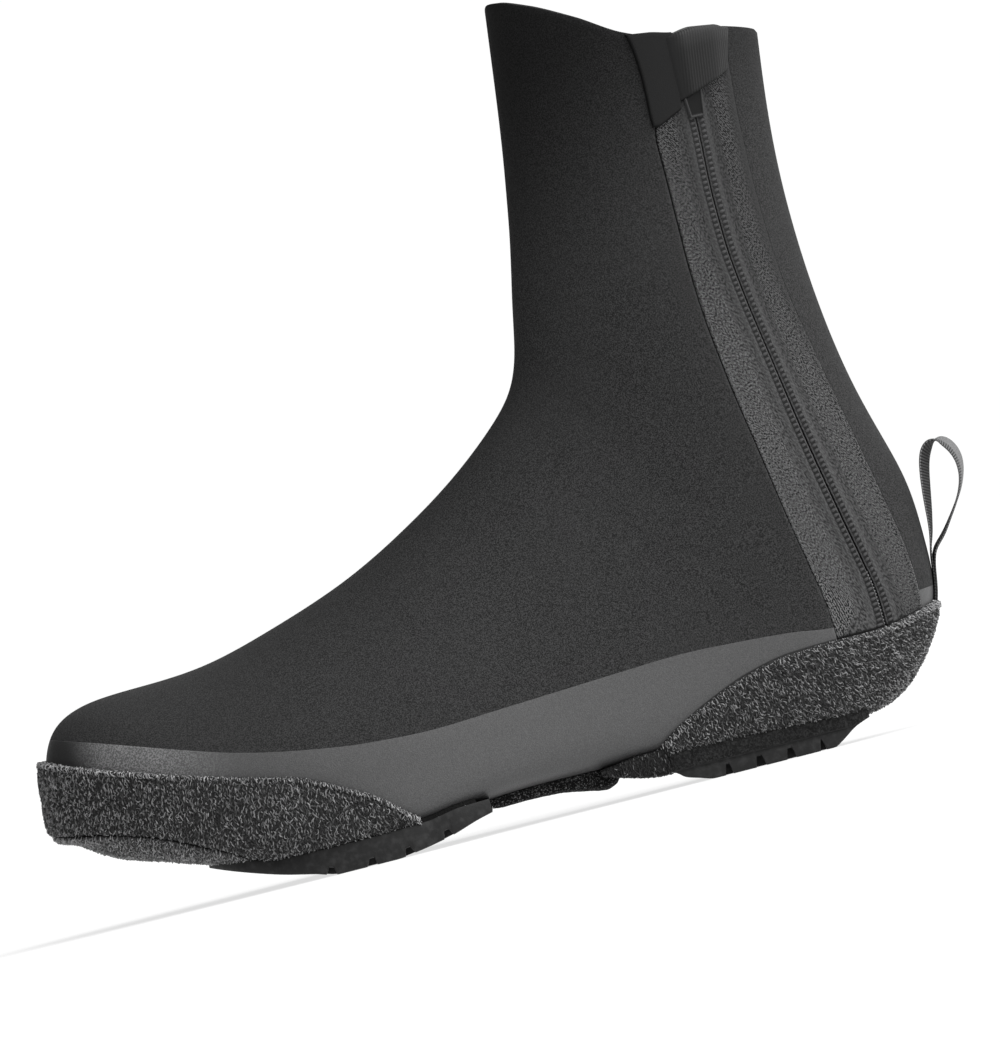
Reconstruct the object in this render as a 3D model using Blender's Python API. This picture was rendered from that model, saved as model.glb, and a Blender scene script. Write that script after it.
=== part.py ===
"""Left cycling overshoe: neoprene upper with a side zip, rubber-faced guards, tread pads and an arch strap.

Lengths are millimetres here and become metres when a mesh is made. +X points to the toe, +Y to the outer
side of the left foot and +Z up. The origin is on the floor, under the middle of the heel tread.

Every soft piece is cut from one function, form(t, p, offset). t runs along the shoe from the tip of the
toe (0) over the instep and round the heel to the collar (LAST_SECTION). p runs round a section: 0 is the line
over the toe and instep, +1 the line under the sole and up the heel on the outer side, -1 the same line on
the inner side.
"""

import math

import bmesh
import bpy
import numpy as np
from mathutils import Matrix, Vector

MM = 0.001

# Driving dimensions
LENGTH = 291.5
BALL_WIDTH = 100.0
COLLAR_HEIGHT = 256.0
WALL = 2.6
SEAT_GAP = 0.3
GUARD_SEAT = 0.5
TOE_GUARD_THICKNESS = 2.0
HEEL_GUARD_THICKNESS = 1.5
TAPE_THICKNESS = 1.0
TAPE_RECESS = 0.5
COIL_THICKNESS = 2.0
COIL_WIDTH = 5.0
GARAGE_THICKNESS = 1.1
LOOP_WIDTH = 10.5
LOOP_THICKNESS = 1.1
SMOOTH_ANGLE = 40.0

# The side-view tables are drawn at this size and graded to the driving dimensions.
SAMPLE_LENGTH = 291.5
SAMPLE_BALL_WIDTH = 100.0
SAMPLE_HEIGHT = 256.0
GRADE_X = LENGTH / SAMPLE_LENGTH
GRADE_Y = BALL_WIDTH / SAMPLE_BALL_WIDTH
GRADE_Z = COLLAR_HEIGHT / SAMPLE_HEIGHT

# Sections of the upper's outer face, from the tip of the toe to the collar. front is the point over the
# toe, instep or shin and back the point under the sole or behind the heel. shift moves the section towards
# the outer side, widest is the share of the way from front to back where it is widest, and crown and base
# are the roundness of the two ends: 2 is an ellipse and more is squarer.
SECTION_COLUMNS = (
    "front_x", "front_z", "back_x", "back_z", "half_width", "shift", "widest", "crown", "base",
)
SECTIONS = (
    (228.4, 47.0, 228.4, 47.0, 0.0, -7.0, 0.50, 2.2, 2.2),
    (226.4, 58.0, 227.4, 37.4, 13.0, -7.0, 0.52, 2.2, 2.4),
    (220.8, 67.0, 223.2, 30.4, 24.0, -6.5, 0.55, 2.2, 2.8),
    (209.5, 71.8, 211.6, 24.2, 34.0, -5.5, 0.58, 2.2, 3.4),
    (192.5, 73.0, 194.8, 19.0, 42.5, -3.5, 0.61, 2.1, 4.4),
    (170.5, 74.5, 171.5, 12.0, 48.0, -1.0, 0.65, 2.0, 5.6),
    (146.5, 80.5, 145.5, 7.8, 50.0, 0.8, 0.69, 1.9, 6.4),
    (120.5, 89.5, 117.5, 7.8, 48.5, 2.0, 0.73, 1.8, 6.6),
    (97.5, 101.0, 90.5, 10.7, 44.5, 2.6, 0.76, 1.75, 6.0),
    (78.5, 113.0, 63.5, 11.0, 40.0, 2.6, 0.77, 1.75, 5.2),
    (63.5, 125.0, 36.5, 10.4, 37.0, 2.0, 0.75, 1.8, 5.2),
    (55.0, 134.0, 9.5, 10.0, 35.2, 1.2, 0.71, 1.85, 5.0),
    (51.0, 141.5, -15.5, 9.5, 34.6, 0.5, 0.67, 1.9, 4.4),
    (49.0, 148.0, -38.4, 11.0, 34.4, 0.1, 0.64, 1.95, 3.2),
    (47.8, 153.5, -53.8, 23.5, 34.2, 0.0, 0.61, 2.0, 2.4),
    (46.8, 158.5, -62.1, 39.6, 34.0, 0.0, 0.59, 2.0, 2.2),
    (45.8, 163.5, -63.5, 57.0, 33.8, 0.0, 0.57, 2.0, 2.1),
    (44.5, 169.5, -62.5, 75.0, 33.5, 0.0, 0.55, 2.0, 2.0),
    (43.0, 176.5, -58.5, 92.0, 33.2, 0.0, 0.54, 2.0, 2.0),
    (41.3, 185.0, -53.5, 111.0, 33.0, 0.0, 0.53, 2.0, 2.0),
    (39.5, 195.5, -49.8, 133.0, 33.0, 0.0, 0.52, 2.0, 2.0),
    (37.5, 208.0, -47.7, 157.0, 33.3, 0.0, 0.51, 2.0, 2.0),
    (35.5, 222.5, -47.3, 182.0, 34.0, 0.0, 0.50, 2.0, 2.0),
    (33.5, 239.0, -48.8, 206.0, 35.0, 0.0, 0.50, 2.0, 2.0),
    (31.5, 256.0, -51.5, 229.0, 36.0, 0.0, 0.50, 2.0, 2.0),
)
LAST_SECTION = len(SECTIONS) - 1
TIP_MIRROR_ROWS = 3

# Sections between which the sole, the cup of the heel, the line up its back and the sides of the shaft lie.
SOLE_SECTIONS = (0.0, 14.0)
CUP_SECTIONS = (12.0, 16.0)
HEEL_LINE_SECTIONS = (14.0, 19.0)
SIDE_SECTIONS = (14.0, LAST_SECTION + 0.5)

# How far the collar's edge lies below the last section, as (p, drop) from the shin to the back.
COLLAR_EDGE = (
    (0.0, 0.8), (0.06, -1.4), (0.14, -2.2), (0.25, -1.4), (0.38, 1.5), (0.5, 5.4), (0.56, 5.8), (0.63, 3.8),
    (0.72, 1.0), (1.0, 0.0),
)
COLLAR_BLEND_ROWS = 3

# Edges drawn on the side of the shoe, as (x, z) with x rising.
TOE_GUARD_TOP = (
    (113.5, 9.0), (124.5, 20.0), (134.5, 26.0), (148.5, 33.0), (167.5, 38.0), (188.5, 44.0), (210.5, 51.0),
    (230.0, 58.0),
)
TOE_SEAM = (
    (91.5, 11.2), (101.5, 10.8), (113.5, 9.0), (141.5, 8.5), (162.0, 8.8), (179.5, 16.5), (197.5, 25.0),
    (223.5, 33.5), (230.0, 37.0),
)
HEEL_GUARD_TOP = (
    (-65.0, 37.5), (-55.5, 35.0), (-42.5, 33.0), (-27.5, 33.0), (-12.5, 32.5), (2.5, 29.5), (15.5, 24.5),
    (27.5, 18.5), (36.5, 11.5),
)
HEEL_TREAD_RIM = ((-34.0, 8.8), (-16.5, 9.4), (2.5, 10.2), (22.5, 10.8), (37.5, 10.7), (50.0, 10.1))

# Lower faces of the two treads along the middle of the shoe, as (x, z).
FOREFOOT_BOTTOM = (
    (91.5, 7.2), (96.5, 6.0), (106.5, 3.0), (117.5, 0.9), (125.0, 0.0), (143.5, 0.0), (151.0, 1.8),
    (161.5, 4.2), (173.0, 7.8), (184.0, 11.6),
)
HEEL_BOTTOM = (
    (-33.0, 7.0), (-27.5, 5.0), (-22.0, 1.5), (-19.0, 0.0), (20.0, 0.0), (25.5, 1.4), (29.5, 2.7),
    (32.2, 4.7), (46.5, 7.0), (50.0, 7.8),
)

# The zip on the outer side: edges and middle line at each height, from under the heel guard to the collar.
ZIP_COLUMNS = ("height", "front_edge", "middle", "rear_edge")
ZIP = (
    (14.0, -26.0, -30.0, -33.0),
    (33.0, -28.0, -44.4, -56.4),
    (44.0, -27.4, -44.0, -57.4),
    (56.0, -25.4, -42.0, -56.6),
    (72.0, -22.5, -38.8, -53.8),
    (98.0, -18.3, -34.0, -48.8),
    (124.0, -14.2, -29.9, -43.7),
    (150.0, -11.5, -26.0, -39.3),
    (165.0, -11.0, -24.6, -38.3),
    (180.0, -11.0, -24.3, -37.9),
    (205.0, -11.0, -25.2, -38.4),
    (240.0, -10.6, -26.3, -41.4),
)
ZIP_FOOT = 13.0
TAPE_SLIT = 0.6

# Corners of the two pieces over the top of the zip, on the side of the shoe.
GARAGE_TAB = {
    "top_front": (-9.5, 235.5),
    "top_rear": (-21.5, 233.5),
    "low_front": (-10.5, 204.0),
    "low_rear": (-21.0, 209.0),
}
GARAGE_FOLD = {
    "top_front": (-20.5, 234.5),
    "top_rear": (-42.0, 231.5),
    "low_front": (-20.5, 211.0),
    "low_rear": (-38.5, 218.0),
}
# The fold stands off by lift, less towards its rear edge and at its top.
FOLD = {"lift": 2.0, "rear_slope": 3.0, "down_slope": 2.5, "at_top": 0.65}
COIL_FOOT = 14.5

SLIDER_HEIGHT = 211.0
SLIDER_LENGTH = 11.0
SLIDER_TOP_WIDTH = 7.6
SLIDER_LOW_WIDTH = 5.2
SLIDER_THICKNESS = 1.9
SLIDER_ROUNDING = 0.25

# Openings under the foot: from and to are sections, and share is the half width left open.
UPPER_OPENING = {"first": 3.0, "last": 12.5, "share": 0.50}
HEEL_GUARD_OPENING = {"first": 6.0, "last": 12.5, "share": 0.60}
OPENING_END = 0.985
OPENING_SQUARENESS = 6

TOE_GUARD_TAIL = 2.0
TOE_PANEL_REAR = 96.0
TOE_PANEL_FIRST_P = 0.97
HEEL_GUARD_ROWS = {"tail_end": 10.5, "cup": 13.0}

FOREFOOT_TREAD = {"front": 183.0, "rear": 92.0, "square_to": 163.0, "nose_taper": 0.92}
HEEL_TREAD = {"front": 49.5, "rear": -32.5, "clear_of_guard": 40.0}
STRAP_HALF_SHARE = 0.72
# The strap's thickness along the arch, as (x, thickness): its two halves overlap at the rear.
STRAP = (
    (91.6, 2.4), (88.0, 3.0), (79.0, 3.1), (70.0, 3.4), (60.0, 4.9), (54.5, 5.7), (51.0, 4.4), (49.9, 3.0),
)
HEEL_STEP_HEIGHT = 5.2
HEEL_STEP_INSET = 1.2
HEEL_STEP_SLOPE = 0.5
ROUND_THE_BACK = (0.0, 0.25, 0.5, 0.7, 0.85, 0.94, 0.985)
RIM_INSETS = (0.0, 1.5, 4.0, 9.0)

# Steps of the faceted grids: along the shoe in sections, and in columns round it.
FOOT_STEP = 0.5
FINE_STEP = 0.25
SHAFT_STEP = 0.8
SHAFT_FROM = 16
CLEAR_OF_CROSSING = 0.1
PAST_CROSSING = 0.06
UPPER_COLUMNS = {
    "inner_sole": 2, "inner_side": 13, "outer_side": 9, "zip": 2, "behind_zip": 2, "outer_sole": 2,
}
TOE_COLUMNS = 6
HEEL_COLUMNS = 8
STRAP_COLUMNS = 5
FOREFOOT_ROWS = {"nose": 7, "ball": 11}
HEEL_TREAD_ROWS = 16
TAPE_COLUMNS = 3
COIL_COLUMNS = 2
GARAGE_TAB_STEPS = (8, 4)
GARAGE_FOLD_STEPS = (7, 7)

# Notches between the lugs, cut into a tread from both sides: reach is how far in.
FOREFOOT_NOTCHES = {"first": 107.0, "pitch": 13.0, "count": 4, "width": 2.8, "depth": 2.4, "reach": 16.0}
HEEL_NOTCHES = {"first": -15.3, "pitch": 10.2, "count": 4, "width": 2.4, "depth": 4.4, "reach": 12.0}
NOTCH_OVERSHOOT = 8.0

# Middle line of the pull loop's tape, from its inner tail up and round to its outer tail. away is how far
# the tape stands behind the heel's own line, and twist turns it about the vertical, in degrees.
LOOP_COLUMNS = ("away", "height", "twist")
LOOP = (
    (0.85, 38.4, 0.0),
    (0.85, 46.0, 0.0),
    (1.15, 52.0, 4.0),
    (2.8, 60.0, 12.0),
    (5.0, 70.0, 17.0),
    (7.5, 79.5, 19.0),
    (11.4, 85.6, 22.0),
    (16.0, 86.8, 24.0),
    (19.1, 82.3, 20.0),
    (18.4, 76.0, 12.0),
    (15.4, 69.0, 6.0),
    (10.6, 62.0, 4.0),
    (5.2, 55.0, 2.0),
    (2.35, 48.0, 0.0),
    (2.25, 38.4, 0.0),
)
LOOP_STEPS_PER_ROW = 3

MATERIALS = {
    "neoprene": {"color": (0.030, 0.030, 0.031), "roughness": 0.72},
    "guard_rubber": {"color": (0.055, 0.055, 0.056), "roughness": 0.80},
    "tread_rubber": {"color": (0.020, 0.020, 0.020), "roughness": 0.60},
    "hook_and_loop": {"color": (0.010, 0.010, 0.010), "roughness": 0.95},
    "zip_tape": {"color": (0.075, 0.075, 0.076), "roughness": 0.85},
    "zip_plastic": {"color": (0.018, 0.018, 0.018), "roughness": 0.40},
    "garage_fabric": {"color": (0.030, 0.030, 0.031), "roughness": 0.70},
    "webbing": {"color": (0.120, 0.120, 0.120), "roughness": 0.75},
}


def natural_spline(knots, rows):
    """A curve with smooth bends through rows of values at rising knots."""
    x = np.asarray(knots, float)
    y = np.asarray(rows, float)
    gap = np.diff(x)
    slope = np.diff(y, axis=0) / gap[:, None]
    system = np.eye(len(x))
    right = np.zeros_like(y)
    for i in range(1, len(x) - 1):
        system[i, i - 1 : i + 2] = gap[i - 1], 2 * (gap[i - 1] + gap[i]), gap[i]
        right[i] = 6 * (slope[i] - slope[i - 1])
    bend = np.linalg.solve(system, right)

    def at(q):
        i = np.clip(np.searchsorted(x, q) - 1, 0, len(x) - 2)
        a = ((x[i + 1] - q) / gap[i])[..., None]
        b = 1 - a
        curve = (a**3 - a) * bend[i] + (b**3 - b) * bend[i + 1]
        return a * y[i] + b * y[i + 1] + curve * (gap[i] ** 2)[..., None] / 6

    return at


def edge_curve(points):
    """A curve through (position, value) points that never bulges past them."""
    x, y = (np.asarray(column, float) for column in zip(*points))
    slope = np.diff(y) / np.diff(x)
    tangent = np.zeros_like(x)
    tangent[0], tangent[-1] = slope[0], slope[-1]
    same_way = slope[:-1] * slope[1:] > 0
    total = np.where(same_way, slope[:-1] + slope[1:], 1.0)
    tangent[1:-1] = np.where(same_way, 2 * slope[:-1] * slope[1:] / total, 0.0)

    def at(q):
        q = np.clip(q, x[0], x[-1])
        i = np.clip(np.searchsorted(x, q) - 1, 0, len(x) - 2)
        width = x[i + 1] - x[i]
        s = (q - x[i]) / width
        start = (1 + 2 * s) * (1 - s) ** 2 * y[i] + s * (1 - s) ** 2 * width * tangent[i]
        end = s * s * (3 - 2 * s) * y[i + 1] + s * s * (s - 1) * width * tangent[i + 1]
        return start + end

    return at


def graded_edge(points):
    return edge_curve([(x * GRADE_X, z * GRADE_Z) for x, z in points])


def section_spline():
    """The section table as a function of t, carried smoothly through the tip of the toe."""
    grade = np.array([GRADE_X, GRADE_Z, GRADE_X, GRADE_Z, GRADE_Y, GRADE_Y, 1.0, 1.0, 1.0])
    rows = np.array(SECTIONS) * grade
    beyond = rows[TIP_MIRROR_ROWS:0:-1][:, [2, 3, 0, 1, 4, 5, 6, 8, 7]]
    beyond[:, SECTION_COLUMNS.index("half_width")] *= -1
    widest = SECTION_COLUMNS.index("widest")
    beyond[:, widest] = 1 - beyond[:, widest]
    knots = np.arange(-TIP_MIRROR_ROWS, len(rows))
    return natural_spline(knots, np.vstack([beyond, rows]))


section_at = section_spline()


def turn(p, base):
    """The angle round a section at p, with p packed closer where a square base turns its corner."""
    under = np.clip(2 * np.abs(p) - 1, 0.0, 1.0)
    packing = (base - 2) / base
    return np.pi * np.abs(p) + packing * np.sin(2 * np.pi * under) / 4


def surface(t, p):
    """The upper's outer face in millimetres. A section is two half superellipses that meet at its widest."""
    t, p = np.broadcast_arrays(np.asarray(t, float), np.asarray(p, float))
    p = (p + 1) % 2 - 1
    row = section_at(t)
    half_width, shift, widest, crown, base = (row[..., i] for i in range(4, 9))
    ahead = np.cos(turn(p, base))
    aside = np.sin(turn(p, base))
    power = np.where(ahead >= 0, crown, base)
    reach = np.where(ahead >= 0, widest, 1 - widest)
    size = (np.abs(ahead) ** power + aside**power) ** (1 / power)
    along = (widest - reach * ahead / size)[..., None]
    profile = row[..., 0:2] * (1 - along) + row[..., 2:4] * along
    y = shift + np.sign(p) * half_width * aside / size
    return np.stack([profile[..., 0], y, profile[..., 1]], axis=-1)


def outward(t, p):
    """Unit normals of the surface."""
    dt, dp = 0.01, 0.002
    t = np.maximum(t, dt)
    along = surface(t + dt, p) - surface(t - dt, p)
    round_it = surface(t, np.asarray(p) + dp) - surface(t, np.asarray(p) - dp)
    normal = np.cross(round_it, along)
    return normal / np.linalg.norm(normal, axis=-1, keepdims=True)


def form(t, p, offset):
    """The surface moved out by offset, which may vary from point to point."""
    return surface(t, p) + outward(t, p) * np.asarray(offset, float)[..., None]


def solve(function, low, high, rounds=40):
    """Where a function falls through zero between low and high, or the nearer end if it doesn't."""
    if function(low) <= 0:
        return low
    if function(high) >= 0:
        return high
    for _ in range(rounds):
        middle = (low + high) / 2
        if function(middle) > 0:
            low = middle
        else:
            high = middle
    return (low + high) / 2


def p_at_height(t, height, offset):
    """p where section t, moved out by offset, crosses a side-view curve z = height(x)."""

    def above(p):
        x, _, z = form(t, p, offset)
        return z - height(x)

    return solve(above, 0.0, 1.0)


def p_at_station(t, station):
    """p where section t crosses a side-view curve x = station(z)."""

    def ahead(p):
        x, _, z = surface(t, p)
        return x - station(z)

    return solve(ahead, 0.0, 1.0)


def t_under(x):
    """The section whose lowest point, under the sole, is at x."""
    return solve(lambda t: section_at(np.asarray(t))[2] - x, *SOLE_SECTIONS)


def place_on_side(x, z):
    """(t, p) of the point on the outer side that the side view shows at (x, z)."""

    def short_of_section(t):
        front_x, front_z, back_x, back_z = section_at(np.asarray(t))[:4]
        return (back_x - front_x) * (z - front_z) - (back_z - front_z) * (x - front_x)

    t = solve(lambda t: -short_of_section(t), *SIDE_SECTIONS)
    return t, solve(lambda p: surface(t, p)[0] - x, 0.0, 1.0)


def p_of_share(t, share):
    """p under the foot where section t is share of its half width from the middle."""
    base = float(section_at(np.asarray(t, float))[SECTION_COLUMNS.index("base")])
    share = min(max(share, 1e-6), 1 - 1e-6)
    angle = math.pi - math.atan2(1.0, (share**-base - 1) ** (1 / base))
    return solve(lambda p: angle - turn(p, base), 0.5, 1.0)


def share_of_p(t, p):
    """The share of its half width that section t has at p, under the foot."""
    row = dict(zip(SECTION_COLUMNS, section_at(np.asarray(t, float))))
    return (surface(t, p)[1] - row["shift"]) / row["half_width"]


def opening_edge(t, opening):
    """p of the edge of an opening under the foot, which rounds off at both ends."""
    first, last = opening["first"], opening["last"]
    place = np.clip((2 * t - first - last) / (last - first), -OPENING_END, OPENING_END)
    return p_of_share(t, opening["share"] * (1 - abs(place) ** OPENING_SQUARENESS) ** 0.5)


def gap_in_p(t, p, gap):
    """The step in p that is a gap in millimetres round the section."""
    step = 0.002
    return gap * 2 * step / np.linalg.norm(surface(t, p + step) - surface(t, p - step))


def gap_in_t(t, p, gap):
    """The step in t that is a gap in millimetres along the shoe."""
    step = 0.01
    return gap * 2 * step / np.linalg.norm(surface(t + step, p) - surface(t - step, p))


def material(name):
    made = bpy.data.materials.get(name)
    if made is None:
        look = MATERIALS[name]
        made = bpy.data.materials.new(name)
        made.use_nodes = True
        shader = made.node_tree.nodes["Principled BSDF"]
        shader.inputs["Base Color"].default_value = (*look["color"], 1.0)
        shader.inputs["Roughness"].default_value = look["roughness"]
        shader.inputs["Metallic"].default_value = 0.0
    return made


def add_object(name, bm, material_name, parent):
    """Makes an object of a bmesh, smooth where its faces turn gently."""
    bmesh.ops.recalc_face_normals(bm, faces=bm.faces)
    mesh = bpy.data.meshes.new(name)
    bm.to_mesh(mesh)
    bm.free()
    mesh.shade_smooth()
    mesh.set_sharp_from_angle(angle=math.radians(SMOOTH_ANGLE))
    mesh.materials.append(material(material_name))
    obj = bpy.data.objects.new(name, mesh)
    obj.parent = parent
    bpy.context.scene.collection.objects.link(obj)
    return obj


def solid_between(t, p, inner, outer, skip=None):
    """A closed bmesh between two grids of points over the same (t, p) grid. Grid points with the same t and
    p are one corner, so sheets join along the middle lines and close at the tip. skip(i, j) leaves out a
    cell."""
    bm = bmesh.new()
    corners = {}

    def corner(i, j):
        around = round(float(p[i][j]), 6)
        key = ("tip",) if t[i][j] <= 0 else (round(float(t[i][j]), 6), 1.0 if around == -1.0 else around)
        if key not in corners:
            corners[key] = [bm.verts.new(Vector(points[i][j]) * MM) for points in (outer, inner)]
        return key

    edges = {}
    for i in range(len(t) - 1):
        for j in range(len(t[i]) - 1):
            if skip and skip(i, j):
                continue
            ring = [corner(i, j), corner(i, j + 1), corner(i + 1, j + 1), corner(i + 1, j)]
            ring = [key for n, key in enumerate(ring) if key != ring[n - 1]]
            if len(set(ring)) < 3:
                continue
            bm.faces.new([corners[key][0] for key in ring])
            bm.faces.new([corners[key][1] for key in reversed(ring)])
            for n, key in enumerate(ring):
                edges[ring[n - 1], key] = True
    for a, b in edges:
        if (b, a) not in edges:
            bm.faces.new([corners[b][0], corners[a][0], corners[a][1], corners[b][1]])
    return bm


def layer(t, p, low, high, skip=None):
    """A closed bmesh between two offsets of the form."""
    t, p = np.asarray(t, float), np.asarray(p, float)
    inner, outer = (form(t, p, np.broadcast_to(offset, t.shape)) for offset in (low, high))
    return solid_between(t, p, inner, outer, skip)


def spread(landmarks, counts):
    """Values from landmark to landmark, with that many steps in each stretch."""
    values = [landmarks[0]]
    for a, b, count in zip(landmarks, landmarks[1:], counts):
        values.extend(a + (b - a) * n / count for n in range(1, count + 1))
    return values


zip_edges = {
    name: edge_curve([(row[0] * GRADE_Z, row[n] * GRADE_X) for row in ZIP])
    for n, name in enumerate(ZIP_COLUMNS)
    if name != "height"
}


def zip_p(t, line):
    """p of one line of the zip."""
    return p_at_station(t, zip_edges[line])


collar_drop = edge_curve(COLLAR_EDGE)


def collar_t(t, p):
    """t with the top rows drawn down or up to the collar's edge."""
    rise = np.linalg.norm(surface(LAST_SECTION, 0.5) - surface(LAST_SECTION - 1, 0.5))
    share = np.clip((t - LAST_SECTION) / COLLAR_BLEND_ROWS + 1, 0, None)
    return t - share * collar_drop(np.abs(p)) * GRADE_Z / rise


def mirrored_layer(rows, halves, low, high):
    """A layer over both sides of the shoe from rows of p on the outer side."""
    count = len(halves[0])
    t = np.repeat(np.array(rows)[:, None], 2 * count, axis=1)
    p = [half + [-value for value in reversed(half)] for half in halves]
    return layer(t, p, low, high, lambda i, j: j == count - 1)


def upper_rows():
    """The sections where the upper's grid has a row, closer together round the toe and heel."""
    foot = np.arange(0, SHAFT_FROM, FOOT_STEP)
    return np.concatenate([foot, np.arange(SHAFT_FROM, LAST_SECTION, SHAFT_STEP), [LAST_SECTION]])


def build_upper(parent):
    """One neoprene wall, open at the collar, under the foot and along the zip."""
    rows = upper_rows()
    counts = list(UPPER_COLUMNS.values())
    medial_open, zip_front, lateral_open = counts[0], sum(counts[:2]) + counts[2], sum(counts[:5])
    p = []
    for t in rows:
        edge = opening_edge(t, UPPER_OPENING)
        steps = counts[2] + counts[3] + counts[4]
        front, rear, back = edge * counts[2] / steps, edge * (counts[2] + counts[3]) / steps, edge
        if t >= ZIP_FOOT:
            front, rear = zip_p(t, "front_edge"), zip_p(t, "rear_edge")
            back = (1 + rear) / 2
        p.append(spread([-1.0, -edge, 0.0, front, rear, back, 1.0], counts))
    p = np.array(p)
    t = collar_t(np.repeat(rows[:, None], p.shape[1], axis=1), p)

    def is_open(i, j):
        middle = (rows[i] + rows[i + 1]) / 2
        under = j < medial_open or j >= lateral_open
        in_zip = zip_front <= j < zip_front + counts[3]
        if under:
            return UPPER_OPENING["first"] < middle < UPPER_OPENING["last"]
        return in_zip and middle > ZIP_FOOT

    add_object("upper", layer(t, p, -WALL, 0.0, is_open), "neoprene", parent)


def toe_rows():
    """The sections where the toe guard and the panel under it have a row: closest round the tip, with rows
    where the guard's two edges cross the middle line."""
    top, seam = graded_edge(TOE_GUARD_TOP), graded_edge(TOE_SEAM)
    outer = GUARD_SEAT + TOE_GUARD_THICKNESS

    def over_edge(t, p, edge):
        x, _, z = form(t, p, outer)
        return z - edge(x)

    nose_end, bow_end = 2.0, 6.0
    rows = {
        *np.arange(0.0, nose_end, FINE_STEP),
        *np.arange(nose_end, bow_end, FOOT_STEP),
        *np.arange(bow_end, t_under(TOE_PANEL_REAR * GRADE_X), FINE_STEP),
    }
    top_crossing = solve(lambda t: -over_edge(t, 0.0, top), 0.0, nose_end)
    seam_crossing = solve(lambda t: over_edge(t, 1.0, seam), 0.0, nose_end)
    for crossing in (top_crossing, seam_crossing):
        rows = {t for t in rows if t == 0.0 or abs(t - crossing) > CLEAR_OF_CROSSING}
        rows |= {crossing, crossing + PAST_CROSSING}
    return sorted(rows)


def build_toe_guard(parent):
    """The textured rand round the toe, from the seam over the sole up to its curved top edge."""
    top, seam = graded_edge(TOE_GUARD_TOP), graded_edge(TOE_SEAM)
    outer = GUARD_SEAT + TOE_GUARD_THICKNESS
    end = t_under((TOE_GUARD_TOP[0][0] + TOE_GUARD_TAIL) * GRADE_X)
    rows = [t for t in toe_rows() if t < end] + [end]
    halves = []
    for t in rows:
        low, high = p_at_height(t, seam, outer), p_at_height(t, top, outer)
        halves.append(spread([low, high], [TOE_COLUMNS]))
    add_object("toe_guard", mirrored_layer(rows, halves, GUARD_SEAT, outer), "guard_rubber", parent)


def build_toe_panel(parent):
    """The panel that closes the forefoot from below, from seam to seam."""
    seam = graded_edge(TOE_SEAM)
    outer = GUARD_SEAT + TOE_GUARD_THICKNESS
    rows = [t for t in toe_rows() if p_at_height(t, seam, outer) < TOE_PANEL_FIRST_P]
    halves = []
    for t in rows:
        edge = p_at_height(t, seam, outer)
        halves.append(spread([edge + gap_in_p(t, edge, SEAT_GAP), 1.0], [TOE_COLUMNS]))
    add_object("toe_panel", mirrored_layer(rows, halves, GUARD_SEAT, outer), "guard_rubber", parent)


def build_heel_guard(parent):
    """The textured cup round the heel, turned in under it."""
    top = graded_edge(HEEL_GUARD_TOP)
    outer = GUARD_SEAT + HEEL_GUARD_THICKNESS
    start = t_under(HEEL_GUARD_TOP[-1][0] * GRADE_X)
    end = solve(lambda t: top(form(t, 1.0, outer)[0]) - form(t, 1.0, outer)[2], *CUP_SECTIONS)
    tail_end, cup = HEEL_GUARD_ROWS["tail_end"], HEEL_GUARD_ROWS["cup"]
    rows = [*np.linspace(start, tail_end, 5), *np.arange(tail_end + FINE_STEP, cup, FINE_STEP)]
    rows += [cup + (end - cup) * share for share in ROUND_THE_BACK]
    halves = []
    for t in rows:
        low = opening_edge(t, HEEL_GUARD_OPENING) if t < HEEL_GUARD_OPENING["last"] else 1.0
        halves.append(spread([low, p_at_height(t, top, outer)], [HEEL_COLUMNS]))
    add_object("heel_guard", mirrored_layer(rows, halves, GUARD_SEAT, outer), "guard_rubber", parent)


def build_tread(name, rows, rim, bottom, top_offsets, insets, parent):
    """A rubber pad from the form's underside down to its own lower face. rim(t) is p of its edge, bottom(x,
    n) the height of the lower face on column n from the edge, top_offsets lie below the form row by row, and
    insets are the first columns in from the edge."""
    t_grid, p_grid = [], []
    for t in rows:
        half_width = section_at(np.asarray(t))[SECTION_COLUMNS.index("half_width")]
        edge = share_of_p(t, rim(t))
        shares = [edge - inset / half_width for inset in insets]
        shares = spread([*shares, 0.0], [1] * (len(shares) - 1) + [2])
        half = [p_of_share(t, share) for share in shares[:-1]]
        p_grid.append(half + [1.0] + [-value for value in reversed(half)])
        t_grid.append([t] * len(p_grid[-1]))
    t_grid, p_grid = np.array(t_grid), np.array(p_grid)
    top = form(t_grid, p_grid, np.broadcast_to(np.asarray(top_offsets)[:, None], t_grid.shape))
    low = top.copy()
    last = t_grid.shape[1] - 1
    for j in range(last + 1):
        low[:, j, 2] = bottom(top[:, j, 0], min(j, last - j))
    return add_object(name, solid_between(t_grid, p_grid, top, low), "tread_rubber", parent)


def cut_notches(tread, notches, bottom, rim, parent):
    """Cuts notches into both sides of a tread, with a hidden block for each. rim(t) is p of its edge."""
    bm = bmesh.new()
    for n in range(notches["count"]):
        x = notches["first"] + n * notches["pitch"]
        t = t_under(x * GRADE_X)
        edge = surface(t, rim(t))[1]
        middle = section_at(np.asarray(t))[SECTION_COLUMNS.index("shift")]
        inner, outer = edge - notches["reach"], edge + NOTCH_OVERSHOOT
        size = Vector((notches["width"], outer - inner, 2 * notches["depth"])) * MM
        for y in ((inner + outer) / 2, 2 * middle - (inner + outer) / 2):
            place = Matrix.Translation(Vector((x * GRADE_X, y, float(bottom(x * GRADE_X)))) * MM)
            bmesh.ops.create_cube(bm, size=1.0, matrix=place @ Matrix.Diagonal((*size, 1.0)))
    cutter = add_object(tread.name + "_notch_cutter", bm, "tread_rubber", parent)
    cutter.hide_render = True
    cutter.display_type = "WIRE"
    cut = tread.modifiers.new("notches", "BOOLEAN")
    cut.operation = "DIFFERENCE"
    cut.solver = "EXACT"
    cut.object = cutter


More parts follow.
